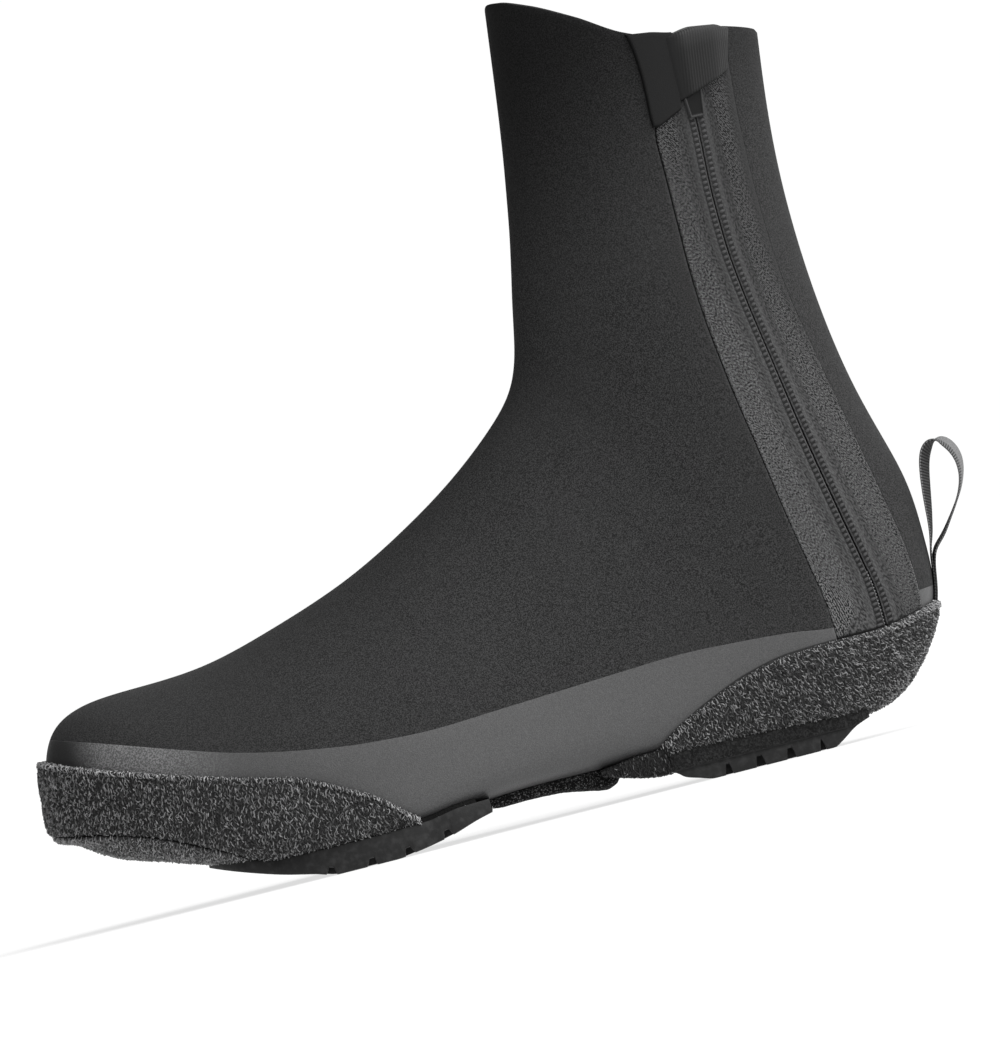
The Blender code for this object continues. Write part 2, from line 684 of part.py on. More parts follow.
def build_forefoot_tread(parent):
    seam, lower = graded_edge(TOE_SEAM), graded_edge(FOREFOOT_BOTTOM)
    top_offset = GUARD_SEAT + TOE_GUARD_THICKNESS + SEAT_GAP
    front, square, rear = (t_under(FOREFOOT_TREAD[end] * GRADE_X) for end in ("front", "square_to", "rear"))

    def rim(t):
        edge = p_at_height(t, seam, top_offset)
        if t >= square:
            return edge
        taper = (1 - ((square - t) / (square - front) * FOREFOOT_TREAD["nose_taper"]) ** 2) ** 0.5
        return p_of_share(t, share_of_p(t, edge) * taper)

    nose = np.linspace(front, square, FOREFOOT_ROWS["nose"])
    rows = [*nose, *np.linspace(square, rear, FOREFOOT_ROWS["ball"])[1:]]
    offsets = [top_offset] * len(rows)
    tread = build_tread("forefoot_tread", rows, rim, lambda x, n: lower(x), offsets, RIM_INSETS, parent)
    cut_notches(tread, FOREFOOT_NOTCHES, lower, rim, parent)


def build_heel_tread(parent):
    """The two-step heel pad, under the guard and, ahead of it, against the upper."""
    edge, lower = graded_edge(HEEL_TREAD_RIM), graded_edge(HEEL_BOTTOM)
    under_guard = GUARD_SEAT + HEEL_GUARD_THICKNESS + SEAT_GAP
    guard_from = t_under(HEEL_TREAD["clear_of_guard"] * GRADE_X)

    def bottom(x, n):
        return np.maximum(lower(x), HEEL_STEP_HEIGHT) if n < 2 else lower(x)

    def top_offset(t):
        return under_guard if t >= guard_from else SEAT_GAP

    def rim(t):
        return p_at_height(t, edge, top_offset(t))

    front, rear = t_under(HEEL_TREAD["front"] * GRADE_X), t_under(HEEL_TREAD["rear"] * GRADE_X)
    rows = np.linspace(front, rear, HEEL_TREAD_ROWS)
    insets = (0.0, HEEL_STEP_INSET, HEEL_STEP_INSET + HEEL_STEP_SLOPE, *RIM_INSETS[2:])
    offsets = [top_offset(t) for t in rows]
    tread = build_tread("heel_tread", rows, rim, bottom, offsets, insets, parent)
    cut_notches(tread, HEEL_NOTCHES, lower, rim, parent)


def build_arch_strap(parent):
    """The hook-and-loop strap across the arch, under the upper between the two treads."""
    rows = [t_under(x * GRADE_X) for x, _ in STRAP]
    halves = [spread([p_of_share(t, STRAP_HALF_SHARE), 1.0], [STRAP_COLUMNS]) for t in rows]
    outer = np.array([[SEAT_GAP + thickness] for _, thickness in STRAP])
    bm = mirrored_layer(rows, halves, SEAT_GAP, outer)
    add_object("arch_strap", bm, "hook_and_loop", parent)


def build_zip(parent):
    """Two tapes in the slot of the upper with a slit between them, and the closed coil behind the slit."""
    rows = [t for t in upper_rows() if t >= ZIP_FOOT]
    rows[0] += float(gap_in_t(ZIP_FOOT, zip_p(ZIP_FOOT, "middle"), SEAT_GAP))
    strips = {"zip_tape_front": [], "zip_tape_rear": [], "zip_coil": []}
    for t in rows:
        front, middle, rear = (zip_p(t, line) for line in ("front_edge", "middle", "rear_edge"))
        seat, slit = gap_in_p(t, middle, SEAT_GAP), gap_in_p(t, middle, TAPE_SLIT / 2)
        coil = gap_in_p(t, middle, COIL_WIDTH / 2)
        strips["zip_tape_front"].append(spread([front + seat, middle - slit], [TAPE_COLUMNS]))
        strips["zip_tape_rear"].append(spread([middle + slit, rear - seat], [TAPE_COLUMNS]))
        strips["zip_coil"].append(spread([middle - coil, middle + coil], [COIL_COLUMNS]))
    tape_low = TAPE_RECESS + TAPE_THICKNESS
    depths = {"zip_coil": (tape_low + GUARD_SEAT + COIL_THICKNESS, tape_low + GUARD_SEAT)}
    for name, p in strips.items():
        shown = [n for n, t in enumerate(rows) if name != "zip_coil" or t >= COIL_FOOT]
        p = np.array(p)[shown]
        t = collar_t(np.repeat(np.array(rows)[shown, None], p.shape[1], axis=1), p)
        deep, shallow = depths.get(name, (tape_low, TAPE_RECESS))
        slot = "zip_plastic" if name == "zip_coil" else "zip_tape"
        add_object(name, layer(t, p, -deep, -shallow), slot, parent)


def side_patch(corners, steps_down, steps_back):
    """(t, p) over a four-cornered patch on the outer side, and how far each point is down and back."""
    t, p, down, back = (np.zeros((steps_down + 1, steps_back + 1)) for _ in range(4))
    for i in range(steps_down + 1):
        for j in range(steps_back + 1):
            v, u = i / steps_down, j / steps_back
            top = Vector(corners["top_front"]).lerp(Vector(corners["top_rear"]), u)
            low = Vector(corners["low_front"]).lerp(Vector(corners["low_rear"]), u)
            x, z = top.lerp(low, v)
            t[i, j], p[i, j] = place_on_side(x * GRADE_X, z * GRADE_Z)
            down[i, j], back[i, j] = v, u
    return t, p, down, back


def build_garage(parent):
    """The smooth tab and the ribbed fold over the top of the zip. The fold stands off over the slider."""
    t, p, _, _ = side_patch(GARAGE_TAB, *GARAGE_TAB_STEPS)
    tab = layer(t, p, SEAT_GAP, SEAT_GAP + GARAGE_THICKNESS)
    add_object("zip_garage_tab", tab, "garage_fabric", parent)
    t, p, down, back = side_patch(GARAGE_FOLD, *GARAGE_FOLD_STEPS)
    from_rear = np.clip(FOLD["rear_slope"] * (1 - back), 0, 1)
    from_top = np.clip(FOLD["down_slope"] * down + FOLD["at_top"], 0, 1)
    lift = SEAT_GAP + FOLD["lift"] * from_rear * from_top
    add_object("zip_garage_fold", layer(t, p, lift, lift + GARAGE_THICKNESS), "garage_fabric", parent)


def build_slider(parent):
    """The body of the zip slider, narrower at its lower end, flat on the tapes."""
    height = SLIDER_HEIGHT * GRADE_Z
    t, p = place_on_side(float(zip_edges["middle"](height)), height)
    step = 0.1
    above, below = (Vector(surface(t + d, zip_p(t + d, "middle"))) for d in (step, -step))
    up = (above - below).normalized()
    out = Vector(outward(t, p))
    across = up.cross(out).normalized()
    out = across.cross(up)
    base = Vector(form(t, p, SEAT_GAP - TAPE_RECESS))
    bm = bmesh.new()
    rings = []
    for depth in (0.0, SLIDER_THICKNESS):
        ring = []
        for along, width in ((-0.5, SLIDER_LOW_WIDTH), (0.5, SLIDER_TOP_WIDTH)):
            for side in (-0.5, 0.5):
                flip = side if along < 0 else -side
                place = base + up * along * SLIDER_LENGTH + across * flip * width + out * depth
                ring.append(bm.verts.new(place * MM))
        rings.append(ring)
        bm.faces.new(ring)
    for n in range(4):
        bm.faces.new([rings[0][n - 1], rings[0][n], rings[1][n], rings[1][n - 1]])
    slider = add_object("zip_slider", bm, "zip_plastic", parent)
    bevel = slider.modifiers.new("rounded_edges", "BEVEL")
    bevel.width = SLIDER_THICKNESS * SLIDER_ROUNDING * MM
    bevel.segments = 2


def build_pull_loop(parent):
    """A woven tape that leaves the back of the heel, makes a loop and comes back down on itself."""
    path = natural_spline(np.arange(len(LOOP)), LOOP)
    steps = np.linspace(0, len(LOOP) - 1, (len(LOOP) - 1) * LOOP_STEPS_PER_ROW + 1)

    def middle(step):
        away, height, _ = path(np.asarray(step, float))
        t = solve(lambda t: height * GRADE_Z - section_at(np.asarray(t))[3], *HEEL_LINE_SECTIONS)
        return Vector((section_at(np.asarray(t))[2] - away, 0.0, height * GRADE_Z))

    reach = 0.05
    bm = bmesh.new()
    rings = []
    for step in steps:
        twist = math.radians(float(path(np.asarray(step, float))[LOOP_COLUMNS.index("twist")]))
        ahead, behind = min(step + reach, steps[-1]), max(step - reach, 0.0)
        along = (middle(ahead) - middle(behind)).normalized()
        width = Vector((math.sin(twist), math.cos(twist), 0.0))
        width = (width - along * width.dot(along)).normalized()
        face = along.cross(width)
        ring = []
        for side, depth in ((-0.5, -0.5), (0.5, -0.5), (0.5, 0.5), (-0.5, 0.5)):
            place = middle(step) + width * side * LOOP_WIDTH + face * depth * LOOP_THICKNESS
            ring.append(bm.verts.new(place * MM))
        rings.append(ring)
    for low, high in zip(rings, rings[1:]):
        for n in range(4):
            bm.faces.new([low[n - 1], low[n], high[n], high[n - 1]])
    bm.faces.new(rings[0])
    bm.faces.new(rings[-1])
    add_object("pull_loop", bm, "webbing", parent)


def main():
    for obj in list(bpy.data.objects):
        bpy.data.objects.remove(obj)
    shoe = bpy.data.objects.new("overshoe", None)
    bpy.context.scene.collection.objects.link(shoe)
    for build in (
        build_upper,
        build_toe_guard,
        build_toe_panel,
        build_heel_guard,
        build_forefoot_tread,
        build_heel_tread,
        build_arch_strap,
        build_zip,
        build_garage,
        build_slider,
        build_pull_loop,
    ):
        build(shoe)


main()
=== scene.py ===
"""Looks of the left cycling overshoe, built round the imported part.

Lengths are millimetres, except for the camera and the floor, and become metres when a mesh is made. +X is
towards the toe, +Y towards the outer side of the left foot and +Z up. form(t, p, offset) is the function that
the solids are cut from: t runs from the tip of the toe over the instep to the collar, and p round a section,
0 over the instep and +1 or -1 under the sole and up the heel.
"""

import math

import bmesh
import bpy
import numpy as np
from mathutils import Matrix, Vector, noise


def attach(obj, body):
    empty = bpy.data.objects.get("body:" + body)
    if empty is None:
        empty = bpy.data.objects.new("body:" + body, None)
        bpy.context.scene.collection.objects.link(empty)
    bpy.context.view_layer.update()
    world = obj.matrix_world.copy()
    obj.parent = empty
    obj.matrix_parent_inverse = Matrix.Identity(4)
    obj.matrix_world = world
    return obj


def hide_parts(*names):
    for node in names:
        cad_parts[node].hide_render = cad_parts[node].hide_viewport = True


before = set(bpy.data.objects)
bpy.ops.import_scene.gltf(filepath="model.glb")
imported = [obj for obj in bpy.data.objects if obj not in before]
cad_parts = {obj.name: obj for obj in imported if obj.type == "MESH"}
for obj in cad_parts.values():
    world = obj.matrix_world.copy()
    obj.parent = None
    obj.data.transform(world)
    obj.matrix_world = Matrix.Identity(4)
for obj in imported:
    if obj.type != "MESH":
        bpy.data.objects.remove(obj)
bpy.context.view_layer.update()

MM = 0.001
BODY = "root"
# Makes the noise of the crumbs the same in every run
NOISE_SEED = 7
noise.seed_set(NOISE_SEED)

# Thicknesses and gaps
WALL = 2.6
SEAT_GAP = 0.3
GUARD_SEAT = 0.5
TOE_GUARD_OUTER = 2.5
HEEL_GUARD_OUTER = 2.0
TAPE_RECESS = 0.5
GARAGE_THICKNESS = 1.1
LOOP_WIDTH = 10.5
LOOP_THICKNESS = 0.7
WELD_GAP = 0.01
# Further from an edge than anything painted or rounded along it reaches
FAR = 9.0
# Faces of a tread that meet at more than this keep a sharp edge, in degrees
SHARP_ANGLE = 40.0

# Sections of the upper's outer face, from the tip of the toe to the collar
SECTION_COLUMNS = ("front_x", "front_z", "back_x", "back_z", "half_width", "shift", "widest", "crown", "base")
SECTIONS = (
    (228.4, 47.0, 228.4, 47.0, 0.0, -7.0, 0.50, 2.2, 2.2),
    (226.4, 58.0, 227.4, 37.4, 13.0, -7.0, 0.52, 2.2, 2.4),
    (220.8, 67.0, 223.2, 30.4, 24.0, -6.5, 0.55, 2.2, 2.8),
    (209.5, 71.8, 211.6, 24.2, 34.0, -5.5, 0.58, 2.2, 3.4),
    (192.5, 73.0, 194.8, 19.0, 42.5, -3.5, 0.61, 2.1, 4.4),
    (170.5, 74.5, 171.5, 12.0, 48.0, -1.0, 0.65, 2.0, 5.6),
    (146.5, 80.5, 145.5, 7.8, 50.0, 0.8, 0.69, 1.9, 6.4),
    (120.5, 89.5, 117.5, 7.8, 48.5, 2.0, 0.73, 1.8, 6.6),
    (97.5, 101.0, 90.5, 10.7, 44.5, 2.6, 0.76, 1.75, 6.0),
    (78.5, 113.0, 63.5, 11.0, 40.0, 2.6, 0.77, 1.75, 5.2),
    (63.5, 125.0, 36.5, 10.4, 37.0, 2.0, 0.75, 1.8, 5.2),
    (55.0, 134.0, 9.5, 10.0, 35.2, 1.2, 0.71, 1.85, 5.0),
    (51.0, 141.5, -15.5, 9.5, 34.6, 0.5, 0.67, 1.9, 4.4),
    (49.0, 148.0, -38.4, 11.0, 34.4, 0.1, 0.64, 1.95, 3.2),
    (47.8, 153.5, -53.8, 23.5, 34.2, 0.0, 0.61, 2.0, 2.4),
    (46.8, 158.5, -62.1, 39.6, 34.0, 0.0, 0.59, 2.0, 2.2),
    (45.8, 163.5, -63.5, 57.0, 33.8, 0.0, 0.57, 2.0, 2.1),
    (44.5, 169.5, -62.5, 75.0, 33.5, 0.0, 0.55, 2.0, 2.0),
    (43.0, 176.5, -58.5, 92.0, 33.2, 0.0, 0.54, 2.0, 2.0),
    (41.3, 185.0, -53.5, 111.0, 33.0, 0.0, 0.53, 2.0, 2.0),
    (39.5, 195.5, -49.8, 133.0, 33.0, 0.0, 0.52, 2.0, 2.0),
    (37.5, 208.0, -47.7, 157.0, 33.3, 0.0, 0.51, 2.0, 2.0),
    (35.5, 222.5, -47.3, 182.0, 34.0, 0.0, 0.50, 2.0, 2.0),
    (33.5, 239.0, -48.8, 206.0, 35.0, 0.0, 0.50, 2.0, 2.0),
    (31.5, 256.0, -51.5, 229.0, 36.0, 0.0, 0.50, 2.0, 2.0),
)
LAST_SECTION = len(SECTIONS) - 1
# Earlier sections end under the sole, and later ones up the heel.
HEEL_SECTION = 14.0
TIP_MIRROR_ROWS = 3
# Columns of a section with its front and back changed over
TURNED_COLUMNS = [2, 3, 0, 1, 4, 5, 6, 8, 7]
# How far below its section the collar's edge lies, as (p, drop)
COLLAR_EDGE = (
    (0.0, 0.8), (0.06, -1.4), (0.14, -2.2), (0.25, -1.4), (0.38, 1.5), (0.5, 5.4), (0.56, 5.8), (0.63, 3.8),
    (0.72, 1.0), (0.86, 0.4), (0.92, 0.5), (0.97, 1.3), (1.0, 1.5),
)
COLLAR_BLEND_ROWS = 3

# Steps along and round the upper, from stretch to stretch, and where its columns start to turn to the zip
UPPER_ROWS = (28, 96, 104)
UPPER_COLUMNS = (8, 72, 74, 24, 16, 10)
ZIP_BLEND_FROM = 9.0
# Where a painted highlight comes up on the band and where painted shade darkens the band at the toe's tip, as
# x, and how dark painted shade makes the jersey towards the collar
TOE_PAINTED_HIGHLIGHT = (160.0, 198.0)
TOE_TIP_PAINTED_SHADE = (206.0, 220.0)
COLLAR_SHADE = {"slant": 0.4, "from": 165.0, "to": 252.0, "most": 0.7}

# Edges drawn on the side of the shoe, as (x, z) with x rising
TOE_GUARD_TOP = (
    (113.5, 9.0), (124.5, 20.0), (134.5, 26.0), (148.5, 33.0), (167.5, 38.0), (188.5, 44.0), (210.5, 51.0),
    (230.0, 58.0),
)
TOE_SEAM = (
    (91.5, 11.2), (101.5, 10.8), (113.5, 9.0), (141.5, 8.5), (162.0, 8.8), (179.5, 16.5), (197.5, 25.0),
    (208.9, 28.6), (224.0, 33.0), (231.0, 34.4),
)
HEEL_GUARD_TOP = (
    (-65.0, 37.5), (-55.5, 35.0), (-42.5, 33.0), (-27.5, 33.0), (-12.5, 32.5), (2.5, 29.5), (15.5, 24.5),
    (27.5, 18.5), (36.5, 11.5),
)
BAND_TOP = (
    (-70.0, 43.0), (-57.5, 42.0), (-28.5, 37.2), (-14.5, 39.0), (1.5, 40.2), (21.5, 41.0), (41.5, 40.2),
    (61.5, 39.2), (81.5, 38.2), (104.5, 37.2), (124.5, 38.2), (146.5, 41.2), (165.5, 45.2), (187.5, 52.0),
    (205.5, 58.0), (223.5, 63.5), (232.0, 66.0),
)
HEEL_TREAD_RIM = ((-34.0, 8.8), (-16.5, 9.4), (2.5, 10.2), (22.5, 10.8), (37.5, 10.7), (50.0, 10.1))
FOREFOOT_BOTTOM = (
    (91.5, 7.2), (96.5, 6.0), (106.5, 3.0), (117.5, 0.9), (125.0, 0.0), (143.5, 0.0), (151.0, 1.8),
    (161.5, 4.2), (173.0, 7.8), (184.0, 11.6),
)
HEEL_BOTTOM = (
    (-33.0, 7.0), (-27.5, 5.0), (-22.0, 1.5), (-19.0, 0.0), (20.0, 0.0), (25.5, 1.4), (29.5, 2.7),
    (32.2, 4.7), (46.5, 7.0), (50.0, 7.8),
)
HEEL_TAIL_RIM = ((32.0, 13.8), (36.3, 12.6), (45.0, 12.2), (50.7, 11.4), (55.0, 11.0))
HEEL_TAIL_BOTTOM = ((32.0, 4.75), (38.6, 5.3), (49.8, 7.9), (52.5, 8.8), (55.0, 9.5))
HEEL_STEP_HEIGHT = 5.2
HEEL_STEP_INSET = 1.6

# Lines of the zip on the side of the shoe, as x at rising heights
ZIP_COLUMNS = ("height", "front_edge", "middle", "rear_edge")
ZIP = (
    (14.0, -26.0, -30.0, -33.0),
    (33.0, -28.0, -44.4, -56.4),
    (44.0, -27.4, -44.0, -57.4),
    (56.0, -25.4, -42.0, -56.6),
    (72.0, -22.5, -38.8, -53.8),
    (98.0, -18.3, -34.0, -48.8),
    (124.0, -14.2, -29.9, -43.7),
    (150.0, -11.5, -26.0, -39.3),
    (165.0, -11.0, -24.6, -38.3),
    (180.0, -11.0, -24.3, -37.9),
    (203.0, -11.0, -25.2, -38.4),
    (212.0, -12.6, -25.5, -39.0),
    (240.0, -13.0, -26.3, -41.4),
)
ZIP_FOOT = 13.0
ZIP_STEPS = 320
TAPE_STEPS = 45
TAPE_THICKNESS = 0.8
# Heights of a tape's coil, slit, lane and front seam, and how far from the slit or the edge each reaches
TAPE = {
    "coil": 0.45, "coil_edge": (3.2, 5.0), "slit": 0.25, "slit_edge": (0.1, 0.35), "lane": 0.12,
    "lane_at": (6.0, 1.0), "edge": (0.8, 3.0), "seam": 0.9, "seam_edge": (0.2, 0.75),
}
# Width of the slit at its foot and at the collar, and how much wider that and the bands beside it get towards
# the foot, as (length along the zip, factor)
TAPE_SLIT = (0.85, 0.16)
ZIP_SPREAD = ((0.0, 2.1), (50.0, 1.8), (110.0, 1.3), (170.0, 1.1), (220.0, 1.0))
COIL_STITCH = {
    "first": 8.0, "below_collar": 27.0, "pitch": 1.75, "near": 0.55, "far": 2.8, "slant": 0.35,
    "radius": 0.6, "flat": 0.45,
}
ZIP_DOTS = {
    "zip_teeth": {
        "line": "middle", "first": 15.0, "last": 36.0, "pitch": 1.1, "length": 0.4,
        "reach": -0.7, "height": -0.1, "radius": 0.2, "flat": 1.0,
    },
    "zip_edge_stitches": {
        "line": "rear_edge", "first": 1.0, "last": 48.0, "pitch": 0.95, "length": 0.55,
        "reach": -0.5, "height": 0.05, "radius": 0.2, "flat": 0.9,
    },
}
GARAGE_TAB = {
    "top_front": (-9.5, 235.5),
    "top_rear": (-21.5, 233.5),
    "low_front": (-10.5, 204.0),
    "low_rear": (-21.0, 209.0),
}
GARAGE_FOLD = {
    "top_front": (-20.5, 234.5),
    "top_rear": (-42.0, 231.5),
    "low_front": (-20.5, 211.0),
    "low_rear": (-38.5, 218.0),
}
FOLD = {"lift": 2.0, "rear_slope": 3.0, "down_slope": 2.5, "at_top": 0.65, "turned_in": 1.5}
SLIDER = {"height": 211.0, "length": 11.0, "top_width": 7.6, "low_width": 5.2, "thickness": 1.9, "rim": 0.4}

UPPER_OPENING = {"first": 3.0, "last": 12.5, "share": 0.50}
HEEL_GUARD_OPENING = {"first": 6.0, "last": 12.5, "share": 0.60}
OPENING_END = 0.985
OPENING_SQUARENESS = 6
TOE_PANEL = {"rear": 96.0, "last_p": 0.985, "chamfer": 3.6, "paler": 0.28}
# x over which the toe's lower front corner gets fuller than its sections, and by how much
TOE_CORNER = (206.0, 226.0)
TOE_FULLNESS = 2.0
FOREFOOT_TREAD = {"front": 183.0, "rear": 92.0, "square_to": 163.0, "nose_taper": 0.92}
HEEL_TREAD = {"front": 49.5, "rear": -32.5}
HEEL_TAIL = {"from": 33.0, "under_pad": 1.0, "step": 0.6, "paler": -0.42}
FOREFOOT_NOTCHES = {"first": 107.0, "pitch": 13.0, "count": 4, "width": 2.8, "depth": 2.4, "reach": 16.0}
HEEL_NOTCHES = {"first": -15.3, "pitch": 10.2, "count": 4, "width": 1.9, "depth": 3.4, "reach": 12.0}
NOTCH_DRAFT = 0.1

# The guards' film: its step, relief and rolled rim and, guard by guard, the height and size of its crumbs
FILM_STEP = 0.8
FILM_RELIEF = 0.45
RIM = {
    "height": 0.35, "lip": (1.0, 0.6), "groove": (2.3, 0.5), "radius": 1.4, "seam_radius": 0.55,
    "under_crumbs": 0.4, "paler": 0.35, "paler_to": (1.2, 2.4),
}
GUARD_FILMS = {"toe_guard": (0.4, 1.5), "toe_panel": (0.5, 1.4), "heel_guard": (0.4, 1.4)}
# The curled crumbs on it, and how many each face has, with the seed that scatters them
CURL = {
    "length": 1.3, "radius": 0.20, "rise": 0.58, "sink": 0.08, "wander": 0.45, "tip": 0.6,
    "dark_bias": 1.9, "brightest": 0.85,
}
CURL_COVERS = {
    "toe_guard": (10500, 3),
    "toe_panel": (7200, 5),
    "heel_guard": (9400, 4),
    "heel_tail": (900, 6),
}

STRAP_HALF_SHARE = 0.72
# Thickness of the strap, as (x, thickness) from its front
STRAP = (
    (91.6, 2.4), (88.0, 3.0), (79.0, 3.1), (70.0, 3.4), (60.0, 4.9), (54.5, 5.7), (51.0, 4.4), (49.9, 3.0),
)
# The loop's tape from end to end: how far behind the heel, how high and how far twisted, in degrees
LOOP_COLUMNS = ("away", "height", "twist")
LOOP = (
    (0.4, 36.0, 0.0),
    (0.4, 46.0, 0.0),
    (1.1, 53.6, 1.0),
    (2.6, 59.5, 6.0),
    (4.5, 70.0, 14.0),
    (7.3, 79.5, 18.0),
    (11.2, 85.6, 22.0),
    (15.8, 87.0, 24.0),
    (18.5, 82.5, 18.0),
    (17.8, 76.0, 10.0),
    (14.6, 69.0, 3.0),
    (9.7, 62.0, -1.0),
    (6.3, 57.6, -5.0),
    (3.7, 54.9, -6.0),
    (1.9, 52.0, -3.0),
    (0.95, 46.0, 0.0),
    (0.95, 36.0, 0.0),
)
LOOP_TAIL_FROM = (51.0, 54.0)
LOOP_TOP_SECTION = 19.0

# The tent, floor, sun and camera, in metres and degrees. A turn is the x over which a strength changes.
WHITE = (1.0, 1.0, 1.0)
TENT = {"turn": (0.03, 0.4), "strength": (1.02, 0.08)}
FLOOR = {"size": 24.0, "x": 0.08, "color": (0.3, 0.3, 0.3), "turn": (0.6, 2.4), "strength": (0.7, 0.2)}
SUN = {"energy": 3.0, "angle": 60.0, "towards": (0.75, -0.5, -0.8)}
CAMERA = {"roll": 14.2, "distance": 6.0, "frame_height": 0.3334, "x": 0.0668, "z": 0.0962, "clip_end": 40.0}


def natural_spline(knots, rows):
    """A curve with smooth bends through rows of values at rising knots."""
    x = np.asarray(knots, float)
    y = np.asarray(rows, float)
    gap = np.diff(x)
    slope = np.diff(y, axis=0) / gap[:, None]
    system = np.eye(len(x))
    right = np.zeros_like(y)
    for i in range(1, len(x) - 1):
        system[i, i - 1 : i + 2] = gap[i - 1], 2 * (gap[i - 1] + gap[i]), gap[i]
        right[i] = 6 * (slope[i] - slope[i - 1])
    bend = np.linalg.solve(system, right)

    def at(q):
        i = np.clip(np.searchsorted(x, q) - 1, 0, len(x) - 2)
        a = ((x[i + 1] - q) / gap[i])[..., None]
        b = 1 - a
        curve = (a**3 - a) * bend[i] + (b**3 - b) * bend[i + 1]
        return a * y[i] + b * y[i + 1] + curve * (gap[i] ** 2)[..., None] / 6

    return at


def edge_curve(points):
    """A curve through (position, value) points that never bulges past them."""
    x, y = (np.asarray(column, float) for column in zip(*points))
    slope = np.diff(y) / np.diff(x)
    tangent = np.zeros_like(x)
    tangent[0], tangent[-1] = slope[0], slope[-1]
    same_way = slope[:-1] * slope[1:] > 0
    total = np.where(same_way, slope[:-1] + slope[1:], 1.0)
    tangent[1:-1] = np.where(same_way, 2 * slope[:-1] * slope[1:] / total, 0.0)

    def at(q):
        q = np.clip(q, x[0], x[-1])
        i = np.clip(np.searchsorted(x, q) - 1, 0, len(x) - 2)
        width = x[i + 1] - x[i]
        s = (q - x[i]) / width
        start = (1 + 2 * s) * (1 - s) ** 2 * y[i] + s * (1 - s) ** 2 * width * tangent[i]
        end = s * s * (3 - 2 * s) * y[i + 1] + s * s * (s - 1) * width * tangent[i + 1]
        return start + end

    return at


def section_spline():
    """The section table as a function of t, carried smoothly through the toe's tip and out the other side."""
    rows = np.array(SECTIONS)
    beyond = rows[TIP_MIRROR_ROWS:0:-1][:, TURNED_COLUMNS]
    beyond[:, SECTION_COLUMNS.index("half_width")] *= -1
    widest = SECTION_COLUMNS.index("widest")
    beyond[:, widest] = 1 - beyond[:, widest]
    return natural_spline(np.arange(-TIP_MIRROR_ROWS, len(rows)), np.vstack([beyond, rows]))


section_at = section_spline()
collar_drop = edge_curve(COLLAR_EDGE)
zip_edges = {name: edge_curve([(row[0], row[n]) for row in ZIP]) for n, name in enumerate(ZIP_COLUMNS) if n}


def section(t, name):
    return section_at(np.asarray(t, float))[..., SECTION_COLUMNS.index(name)]


def unit(vectors):
    return vectors / np.linalg.norm(vectors, axis=-1, keepdims=True)


def turn(p, base):
    """The angle round a section at p, with p packed closer where a square base turns its corner."""
    under = np.clip(2 * np.abs(p) - 1, 0.0, 1.0)
    return np.pi * np.abs(p) + (base - 2) / base * np.sin(2 * np.pi * under) / 4


def surface(t, p):
    """The upper's outer face: two half superellipses that meet where a section is widest."""
    t, p = np.broadcast_arrays(np.asarray(t, float), np.asarray(p, float))
    p = (p + 1) % 2 - 1
    row = section_at(t)
    half_width, shift, widest, crown, base = (row[..., i] for i in range(4, 9))
    ahead = np.cos(turn(p, base))
    aside = np.sin(turn(p, base))
    power = np.where(ahead >= 0, crown, base)
    reach = np.where(ahead >= 0, widest, 1 - widest)
    size = (np.abs(ahead) ** power + aside**power) ** (1 / power)
    along = (widest - reach * ahead / size)[..., None]
    profile = row[..., 0:2] * (1 - along) + row[..., 2:4] * along
    y = shift + np.sign(p) * half_width * aside / size
    return np.stack([profile[..., 0], y, profile[..., 1]], axis=-1)


def outward(t, p):
    """The direction straight out of the upper."""
    dt, dp = 0.01, 0.002
    t = np.maximum(t, dt)
    along = surface(t + dt, p) - surface(t - dt, p)
    round_it = surface(t, np.asarray(p) + dp) - surface(t, np.asarray(p) - dp)
    return unit(np.cross(round_it, along))


def form(t, p, offset):
    """The upper's outer face, moved out by offset."""
    return surface(t, p) + outward(t, p) * np.asarray(offset, float)[..., None]


def solve(function, low, high, shape):
    """Where a falling function passes zero between low and high, for a whole array at once."""
    halvings = 34
    low = np.full(shape, float(low))
    high = np.full(shape, float(high))
    for _ in range(halvings):
        middle = (low + high) / 2
        falls_later = function(middle) > 0
        low = np.where(falls_later, middle, low)
        high = np.where(falls_later, high, middle)
    return (low + high) / 2


def p_at_height(t, height, offset):
    """p where sections t, moved out by offset, cross a side-view curve z = height(x)."""

    def above(p):
        place = form(t, p, offset)
        return place[..., 2] - height(place[..., 0])

    p = solve(above, 0.0, 1.0, np.shape(t))
    p = np.where(above(0.0) <= 0, 0.0, p)
    return np.where(above(1.0) >= 0, 1.0, p)


def zip_p(t, line):
    """p of one line of the zip on sections t."""

    def ahead(p):
        place = surface(t, p)
        return place[..., 0] - zip_edges[line](place[..., 2])

    return solve(ahead, 0.0, 1.0, np.shape(t))


def t_under(x):
    """The sections whose lowest point, under the sole, is at x."""
    return solve(lambda t: section(t, "back_x") - x, 0.0, HEEL_SECTION, np.shape(x))


def place_on_side(x, z):
    """(t, p) of the points on the outer side that the side view shows at (x, z)."""

    def past(t):
        front_x, front_z, back_x, back_z = np.moveaxis(section_at(t)[..., :4], -1, 0)
        return (back_z - front_z) * (x - front_x) - (back_x - front_x) * (z - front_z)

    t = solve(past, HEEL_SECTION, LAST_SECTION + 0.5, np.shape(x))
    return t, solve(lambda p: surface(t, p)[..., 0] - x, 0.0, 1.0, np.shape(x))


def p_of_share(t, share):
    """p under the foot where sections t are share of their half width from the middle."""
    base, least = section(t, "base"), 1e-6
    share = np.clip(share, least, 1 - least)
    angle = np.pi - np.arctan2(1.0, (share**-base - 1) ** (1 / base))
    return solve(lambda p: angle - turn(p, base), 0.5, 1.0, np.shape(angle))


def share_of_p(t, p):
    return (surface(t, p)[..., 1] - section(t, "shift")) / section(t, "half_width")


